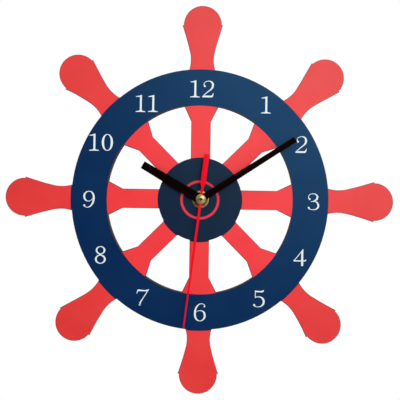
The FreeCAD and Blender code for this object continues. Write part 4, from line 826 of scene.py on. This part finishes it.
def boardPrint(name, node, inner, outer, boreCentre=None):
    # the printed ink stops at the burnt rim of the board and at its own two circles
    low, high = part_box(node)
    slab = asCut(copyOfNode("wheel_board"))
    front = flatFaces(slab, wheel["front"])
    bmesh.ops.delete(slab, geom=[face for face in slab.faces if face not in front], context="FACES")
    rim = insetFlat(slab, slab.faces[:], wheel["char"])
    bmesh.ops.delete(slab, geom=rim, context="FACES")
    widenRim(slab.verts)
    mergeFlat(slab, bend["flatPrint"])
    bmesh.ops.triangulate(slab, faces=slab.faces)
    thicken(slab, low.y - high.y)
    faceOutward(slab)
    cutter = asCut(ringAround(low, high, inner, outer, prints["shift"], boreCentre), False)
    return finishPiece(trimmedBy(slab, cutter, name), name, [node])


def makeHubLine():
    low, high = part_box("hub_line_film")
    radius, half = prints["lineRadius"], prints["lineWidth"] / 2
    mesh = annulus(radius - half, radius + half, -high.y, -low.y, prints["lineShift"])
    return finishPiece(mesh, "hubLinePrint", ["hub_line_film"])


report(
    "prints",
    boardPrint("ringPrint", "dial_ring_film", prints["ringInner"], prints["ringOuter"]),
    boardPrint("hubPrint", "hub_film", prints["hubBore"], prints["hubOuter"], (0.0, 0.0)),
    makeHubLine(),
)


# The printed figures, in cells from the figure's middle and its foot. A pen is a row of
# points, each with half its stroke's width, and a loop is a pen that ends where it starts.

numerals = {
    "cell": 0.775 * mm,
    # a stroke's printed half width: this share of the drawn one, plus this
    "weight": (0.86, -0.13),
    "shift": (0.09 * mm, -0.29 * mm),
    "steps": 6,
    "dotSteps": 20,
    # all figures lie between these two circles
    "ring": (60 * mm, 120 * mm),
    # which figure stands where, in mm across and up from the axis
    "spots": (
        ("1", 50.01, 67.64), ("2", 77.74, 37.5), ("3", 87.49, -6.8), ("4", 77.71, -50.3),
        ("5", 46.28, -82.73), ("6", 0.72, -93.96), ("7", -43.81, -82.48), ("8", -76.65, -50.63),
        ("9", -86.2, -7.7), ("1", -82.57, 36.51), ("0", -72.6, 36.59), ("1", -47.23, 67.05),
        ("1", -37.66, 67.21), ("1", -5.27, 79.15), ("2", 4.78, 79.32),
    ),
}
figures = {
    "0": (
        ("loop", (0, 16.5, 0.5), (2.2, 15.5, 0.8), (3.8, 12.8, 1.25), (4.45, 8.5, 1.45),
            (3.8, 4.2, 1.25), (2.2, 1.5, 0.8), (0, 0.5, 0.5), (-2.2, 1.5, 0.8), (-3.8, 4.2, 1.25),
            (-4.45, 8.5, 1.45), (-3.8, 12.8, 1.25), (-2.2, 15.5, 0.8)),
    ),
    "1": (
        ("shape", (0.93, 17.1), (0.97, 2.1), (1.6, 1.35), (4.5, 0.8), (4.5, 0.15), (-5.1, 0.15),
            (-5.1, 0.8), (-1.8, 1.35), (-0.97, 2.1), (-0.97, 15.2), (-4.8, 15.1), (-5.1, 15.6),
            (-2, 16.3), (0.3, 17.1)),
    ),
    "2": (
        ("shape", (-6, 0.1), (-5.6, 0.8), (-3.3, 1.9), (2.8, 1.8), (4.1, 2.5), (5, 4.5),
            (5.4, 4.5), (4.9, 1.2), (4.2, 0.3), (3.5, 0.1)),
        ("dots", (-3.5, 11.2, 1.25)),
        ("pen", (-3.5, 11.3, 0.95), (-4.3, 12.6, 0.62), (-4, 14.3, 0.5), (-2.4, 15.75, 0.5),
            (0.1, 16.4, 0.55), (2.6, 15.9, 0.85), (4.2, 14.3, 1.2), (4.6, 12, 1.3),
            (3.9, 9.6, 1.15), (2, 7.5, 0.85), (-0.3, 5.7, 0.7), (-2.6, 3.7, 0.6),
            (-4.8, 1.7, 0.55), (-5.7, 0.7, 0.5)),
    ),
    "3": (
        ("dots", (-3.5, 11.2, 1.25), (-4.4, 2.4, 1.3)),
        ("pen", (-3.6, 11.3, 0.8), (-4.7, 12.4, 0.6), (-4.6, 14.1, 0.55), (-3.2, 15.8, 0.5),
            (-0.8, 16.5, 0.5), (1.8, 16.3, 0.65), (3.7, 14.8, 1.05), (4.2, 13, 1.2),
            (3.4, 11, 1.1), (1.6, 9.6, 0.8), (-0.4, 8.9, 0.55), (-2.2, 8.6, 0.45)),
        ("pen", (-0.7, 8.75, 0.5), (1.9, 8.8, 0.6), (4.2, 7.4, 1), (5.2, 5.2, 1.2),
            (4.9, 3, 1.15), (3, 1.2, 0.8), (0.2, 0.55, 0.5), (-2.4, 0.8, 0.5),
            (-4.1, 1.7, 0.8), (-4.8, 3.2, 0.6)),
    ),
    "4": (
        ("shape", (3.2, 17.4), (3.4, 16.8), (3.35, 0.6), (2.9, 0.1), (1.8, 0.1), (1.35, 0.6),
            (1.4, 14.6)),
        ("shape", (-6.4, 4.75), (-5.7, 5.9), (4.6, 5.8), (6.2, 6.8), (6.6, 6.7), (6.1, 5.3),
            (4.8, 4.7)),
        ("pen", (3.1, 17, 0.35), (0.4, 13.2, 0.55), (-3, 8.8, 0.6), (-6, 5.5, 0.6)),
    ),
    "5": (
        ("shape", (-4, 17.2), (-3, 16.8), (2, 16.5), (4.2, 17.2), (5, 17.8), (5, 17),
            (4.5, 15.8), (3.2, 15.2), (-2.8, 15.4), (-3.9, 15.5)),
        ("dots", (-4.6, 2.6, 1.25)),
        ("pen", (-3.6, 16.6, 0.6), (-3.6, 10, 0.55)),
        ("pen", (-3.9, 9.7, 0.4), (-2.6, 10.5, 0.55), (-0.5, 10.8, 0.65), (2, 10.3, 0.9),
            (4.2, 8.4, 1.2), (4.95, 5.9, 1.25), (4.3, 3.4, 1.15), (2.2, 1.4, 0.75),
            (-0.6, 0.6, 0.5), (-3, 1, 0.5), (-4.5, 2, 0.85), (-4.9, 3.5, 0.5)),
    ),
    "6": (
        ("dots", (4.4, 14.8, 1)),
        ("pen", (4.3, 14.6, 0.75), (4.9, 15.7, 0.6), (3.8, 17, 0.5), (1.5, 17.6, 0.5),
            (-1, 16.9, 0.65), (-3.2, 14.5, 0.95), (-4.5, 11.5, 1.15), (-4.9, 8, 1.2),
            (-4.5, 4.5, 1.2), (-3, 1.8, 0.95), (-0.3, 0.55, 0.55), (2.5, 1.2, 0.7),
            (4.5, 3.6, 1.1), (4.9, 6, 1.2), (4.2, 8.8, 1.1), (2.3, 10.4, 0.7), (0, 10.8, 0.5),
            (-2.2, 10.3, 0.45), (-3.9, 9.1, 0.4)),
    ),
    "7": (
        ("shape", (-4.8, 16.4), (-2, 16), (3, 15.7), (6.5, 16.6), (5.9, 15.1), (4.5, 14.5),
            (-2, 14.6), (-4.6, 14.5)),
        ("pen", (-5.6, 12.4, 0.5), (-5.1, 14, 0.6), (-4.4, 15.3, 0.7)),
        ("pen", (5.3, 15.3, 0.6), (3, 11.4, 0.65), (0.5, 7.4, 0.65), (-1.5, 4.2, 0.85),
            (-2.4, 1.9, 1.2), (-2.5, 1.3, 1.3)),
    ),
    "8": (
        ("loop", (0.1, 17.25, 0.55), (2.9, 16.2, 0.85), (4.05, 13.7, 1.2), (2.9, 11.1, 0.85),
            (0.1, 10.1, 0.6), (-2.8, 11.1, 0.85), (-3.85, 13.7, 1.1), (-2.8, 16.2, 0.8)),
        ("loop", (0, 8.8, 0.6), (3.2, 7.6, 0.95), (4.5, 4.75, 1.25), (3.2, 1.9, 0.95),
            (0, 0.65, 0.6), (-3.2, 1.9, 0.95), (-4.5, 4.75, 1.2), (-3.2, 7.6, 0.85)),
        ("pen", (-2.9, 11.3, 0.8), (0, 9.4, 0.95), (3, 7.5, 0.9)),
    ),
    "9": (
        ("dots", (-4.4, 2.7, 1.3)),
        ("pen", (3.7, 9.4, 0.5), (1.7, 7.6, 0.5), (-0.6, 6.9, 0.55), (-2.9, 7.8, 0.9),
            (-4.4, 10.2, 1.2), (-4.4, 13.3, 1.15), (-2.6, 15.9, 0.8), (0.2, 16.8, 0.5)),
        ("pen", (0.2, 16.8, 0.5), (2.7, 16, 0.8), (4.4, 13.5, 1.15), (4.9, 10.3, 1.25),
            (4.5, 7, 1.2), (3.3, 4, 1.05), (1.3, 1.8, 0.8), (-1, 0.8, 0.55),
            (-3, 1.1, 0.5), (-4.3, 2.3, 0.85)),
    ),
}


def smoothRow(points, closed):
    # a smooth curve through the points, widths included
    count, row = len(points), []
    for start in range(count if closed else count - 1):
        places = range(start - 1, start + 3)
        if not closed:
            places = [min(max(place, 0), count - 1) for place in places]
        beside = [points[place % count] for place in places]
        for step in range(numerals["steps"]):
            part = step / numerals["steps"]
            row.append([
                0.5 * (
                    2 * b + (c - a) * part + (2 * a - 5 * b + 4 * c - d) * part ** 2
                    + (3 * b - a - 3 * c + d) * part ** 3
                )
                for a, b, c, d in zip(*beside)
            ])
    return row if closed else row + [list(points[-1])]


def penHalf(half):
    return half * numerals["weight"][0] + numerals["weight"][1]


def penSides(points, closed):
    # the left and the right side of a stroke, point by point
    row = smoothRow(points, closed)
    count = len(row)
    sides = []
    for place, (x, y, half) in enumerate(row):
        after = row[(place + 1) % count] if closed else row[min(place + 1, count - 1)]
        before = row[place - 1] if closed else row[max(place - 1, 0)]
        along = Vector((after[0] - before[0], after[1] - before[1])).normalized() * penHalf(half)
        sides.append(((x - along.y, y + along.x), (x + along.y, y - along.x)))
    return sides


def roundCorners(x, y, half):
    turns = [2 * math.pi * step / numerals["dotSteps"] for step in range(numerals["dotSteps"])]
    reach = penHalf(half)
    return [(x + reach * math.cos(turn), y + reach * math.sin(turn)) for turn in turns]


def addPlate(mesh, corners, levels, stand):
    back, front = ([mesh.verts.new(stand(x, y, level)) for x, y in corners] for level in levels)
    mesh.faces.new(back)
    mesh.faces.new(front)
    for first in range(len(corners)):
        second = (first + 1) % len(corners)
        mesh.faces.new((back[first], back[second], front[second], front[first]))


def addStroke(mesh, points, closed, levels, stand):
    # each row of four: left back, left front, right front, right back
    around = levels + levels[::-1]
    rows = [
        [mesh.verts.new(stand(*s, level)) for s, level in zip((left, left, right, right), around)]
        for left, right in penSides(points, closed)
    ]
    for first, second in zip(rows, rows[1:] + rows[:1] if closed else rows[1:]):
        for side in range(4):
            other = (side + 1) % 4
            mesh.faces.new((first[side], first[other], second[other], second[side]))
    if not closed:
        mesh.faces.new(rows[0])
        mesh.faces.new(rows[-1])
        for end in (points[0], points[-1]):
            addPlate(mesh, roundCorners(*end), levels, stand)


def makeNumerals():
    # plates and strokes overlap, and the solver joins them into plain figures
    low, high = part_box("dial_numerals")
    levels = [high.y, low.y]
    mesh = bmesh.new()
    for digit, across, upward in numerals["spots"]:
        left = across * mm + numerals["shift"][0]
        foot = upward * mm + numerals["shift"][1]

        def stand(x, y, level):
            return (left + x * numerals["cell"], level, foot + y * numerals["cell"])

        for kind, *points in figures[digit]:
            if kind == "shape":
                addPlate(mesh, points, levels, stand)
            elif kind == "dots":
                for dot in points:
                    addPlate(mesh, roundCorners(*dot), levels, stand)
            else:
                addStroke(mesh, points, kind == "loop", levels, stand)
    faceOutward(mesh)
    mesh = trimmedBy(mesh, ringAround(low, high, *numerals["ring"], (0.0, 0.0)), "numerals", True)
    return finishPiece(mesh, "dialNumerals", ["dial_numerals"])


report("numerals", makeNumerals())


# Hands: only the edges of their fronts are rounded

hands = {
    "hour_hand": ("hourHand", 0.1 * mm),
    "minute_hand": ("minuteHand", 0.1 * mm),
    "second_hand": ("secondHand", 0.07 * mm),
}
report("hands", *(
    softenedCopy(node, name, width, sharper=bend["rim"], front=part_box(node)[0].y)
    for node, (name, width) in hands.items()
))


# Brass: the domed cap, the washer and the nut

cap = {
    "back": -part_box("second_hand_cap")[1].y,
    "front": -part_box("second_hand_cap")[0].y,
    "radius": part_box("second_hand_cap")[1].x,
    "bore": 0.5 * mm,
    "foot": 0.05 * mm,
    "rim": 0.3 * mm,
    "recess": 0.9 * mm,
    "recessDepth": 0.3 * mm,
    "recessFloor": 0.86,
    "lip": (0.02 * mm, 0.08 * mm),
    "lipReach": 1.1,
    "domeReach": 1.25,
    "sharp": 25,
    "steps": 96,
    "rings": 14,
}


def makeCap():
    # a shallow dome over a short straight rim, with a dimple at its middle
    bore, radius, recess, back = (cap[key] for key in ("bore", "radius", "recess", "back"))
    start = back + cap["rim"]
    rise = cap["front"] - back - cap["rim"]
    points = [(bore, back), (radius - cap["foot"], back), (radius, back + cap["foot"])]
    for step in range(cap["rings"]):
        turn = math.pi / 2 * step / cap["rings"]
        if radius * math.cos(turn) > recess * cap["domeReach"]:
            points.append((radius * math.cos(turn), start + rise * math.sin(turn)))
    lip = cap["front"] - cap["lip"][0]
    floor = cap["front"] - cap["recessDepth"]
    points += [(recess * cap["lipReach"], lip), (recess, lip - cap["lip"][1])]
    points += [(recess * cap["recessFloor"], floor), (bore, floor), (bore, back)]
    mesh = spunProfile(points, cap["steps"])
    return finishPiece(mesh, "secondHandCap", ["second_hand_cap"], [capBrass], cap["sharp"])


washer = {
    "bore": 4.3 * mm,
    "radius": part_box("brass_washer")[1].x,
    "back": -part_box("brass_washer")[1].y,
    "front": -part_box("brass_washer")[0].y,
    "round": 0.14 * mm,
    "roundSteps": 3,
    "sharp": 40,
    "steps": 128,
}


def makeWasher():
    corners = boxProfile(*(washer[key] for key in ("bore", "radius", "back", "front")))
    mesh = spunProfile(corners, washer["steps"])
    roundEdges(mesh, sharpEdges(mesh, bend["rim"]), washer["round"], washer["roundSteps"])
    return finishPiece(mesh, "brassWasher", ["brass_washer"], degrees=washer["sharp"])


nutRound = 0.08 * mm
report(
    "brass",
    makeCap(),
    makeWasher(),
    softenedCopy("hex_nut", "hexNut", nutRound, looks=[nutBrass]),
)


# The case behind, and what shows at the back: each name, and how far and in how many
# steps its edges are rounded

behind = {
    "rear_case": ("rearCase", 0.2 * mm, 2),
    "front_cover": ("frontCover", 0.15 * mm, 2),
    "wall_hanger": ("wallHanger", 0.08 * mm, 1),
    "setting_knob": ("settingKnob", 0.1 * mm, 2),
    "battery": ("batteryCell", 0.25 * mm, 3),
}
report("case", *(softenedCopy(node, *values) for node, values in behind.items()))


# Floor, light and camera

studio = {
    "floorLevel": -0.45,
    "floorHalf": 2.4,
    "floorFade": (0.7, 2.2),
    "floorTones": ((250, 250, 248), (244, 244, 243)),
    "ambient": 0.6,
    # the room that gloss sees darkens towards the viewer and brightens upwards
    "roomDepth": (-0.45, 0.15),
    "roomHeight": (-0.8, 0.9),
    "roomShade": (0.4, 1.2),
}
lamps = {
    # name: place, size and power
    "keyLamp": ((0.42, -1.1, 0.46), 1.1, 7.8),
    "fillLamp": ((-1.3, -0.7, 0.4), 1.0, 2.0),
}


def makeFloor():
    mesh = bmesh.new()
    bmesh.ops.create_grid(mesh, x_segments=8, y_segments=8, size=studio["floorHalf"])
    bmesh.ops.translate(mesh, verts=mesh.verts, vec=(0.0, 0.0, studio["floorLevel"]))
    floor = meshObject(mesh, "floor")
    material, tree, shader = startFinish("paleFloor", Specular_IOR_Level=0.2)
    grains = fineGrain(tree, grain=2, patch=200)
    tone = mixByLevel(tree, grains["Patches"], 0.3, 0.7, 1.0, *studio["floorTones"])
    tree.links.new(tone, shader["Base Color"])
    tree.links.new(remap(tree, grains["Grain"], 0.3, 0.7, 0.6, 0.75), shader["Roughness"])
    # seen from below the floor is clear, and far out it fades into the white
    output = tree.nodes["Material Output"]
    solid = tree.nodes["Principled BSDF"].outputs[0]
    below = addNode(tree, "NewGeometry").outputs["Backfacing"]
    clear = addNode(tree, "BsdfTransparent").outputs[0]
    length = {"operation": "LENGTH"}
    place = addNode(tree, "VectorMath", length, {0: objectPlace(tree)}).outputs["Value"]
    hidden = sums(tree, "MAXIMUM", below, remap(tree, place, *studio["floorFade"]))
    mixed = addNode(tree, "MixShader", None, {0: hidden, 1: solid, 2: clear})
    tree.links.new(mixed.outputs[0], output.inputs["Surface"])
    floor.data.materials.append(material)


def makeWorld():
    # the camera sees plain white; gloss sees white behind the clock and a dimmer room before it
    world = bpy.data.worlds.new("studio")
    bpy.context.scene.world = world
    world.use_nodes = True
    tree = world.node_tree
    background = tree.nodes["Background"]
    path = addNode(tree, "LightPath").outputs
    parts = separated(tree, addNode(tree, "TexCoord").outputs["Generated"])
    depth = remap(tree, parts[1], *studio["roomDepth"])
    upward = remap(tree, parts[2], *studio["roomHeight"], *studio["roomShade"])
    glossy = times(tree, depth, upward)
    shown = sums(tree, "ADD", path["Is Glossy Ray"], path["Is Transmission Ray"])
    inputs = {0: shown, 2: studio["ambient"], 3: glossy}
    lit = addNode(tree, "Mix", None, inputs).outputs[0]
    inputs = {0: path["Is Camera Ray"], 2: lit, 3: 1.0}
    strength = addNode(tree, "Mix", None, inputs).outputs[0]
    background.inputs["Color"].default_value = (1.0, 1.0, 1.0, 1.0)
    tree.links.new(strength, background.inputs["Strength"])


def addLamp(name, place, size, power):
    data = bpy.data.lights.new(name, "AREA")
    data.shape, data.size, data.energy = "DISK", size, power
    lamp = addObject(name, data)
    lamp.location = place
    lamp.rotation_euler = (-Vector(place)).to_track_quat("-Z", "Y").to_euler()


makeFloor()
makeWorld()
for name, values in lamps.items():
    addLamp(name, *values)

# the camera stands a little left of and below the clock, and leans slightly: in metres,
# degrees and, for the lens, mm
lens = {
    "target": (-0.00031, -0.0208, -0.00047),
    "aside": 2.69,
    "upward": 1.07,
    "lean": 0.834,
    "distance": 1.288,
    "focal": 149.9,
    "sensor": 36.0,
}


def makeCamera():
    aside, upward, lean = (math.radians(lens[key]) for key in ("aside", "upward", "lean"))
    level = math.cos(upward)
    forward = Vector((math.sin(aside) * level, math.cos(aside) * level, math.sin(upward)))
    right = forward.cross(Vector((0.0, 0.0, 1.0))).normalized()
    up = right.cross(forward)
    leanRight = math.cos(lean) * right + math.sin(lean) * up
    leanUp = -math.sin(lean) * right + math.cos(lean) * up
    data = bpy.data.cameras.new("camera")
    data.lens, data.sensor_width = lens["focal"], lens["sensor"]
    camera = addObject("camera", data)
    turn = Matrix((leanRight, leanUp, -forward)).transposed()
    place = Vector(lens["target"]) - lens["distance"] * forward
    camera.matrix_world = Matrix.Translation(place) @ turn.to_4x4()
    bpy.context.scene.camera = camera


makeCamera()
bpy.context.scene.view_settings.view_transform = "Standard"
print("stage, lamps and camera placed")
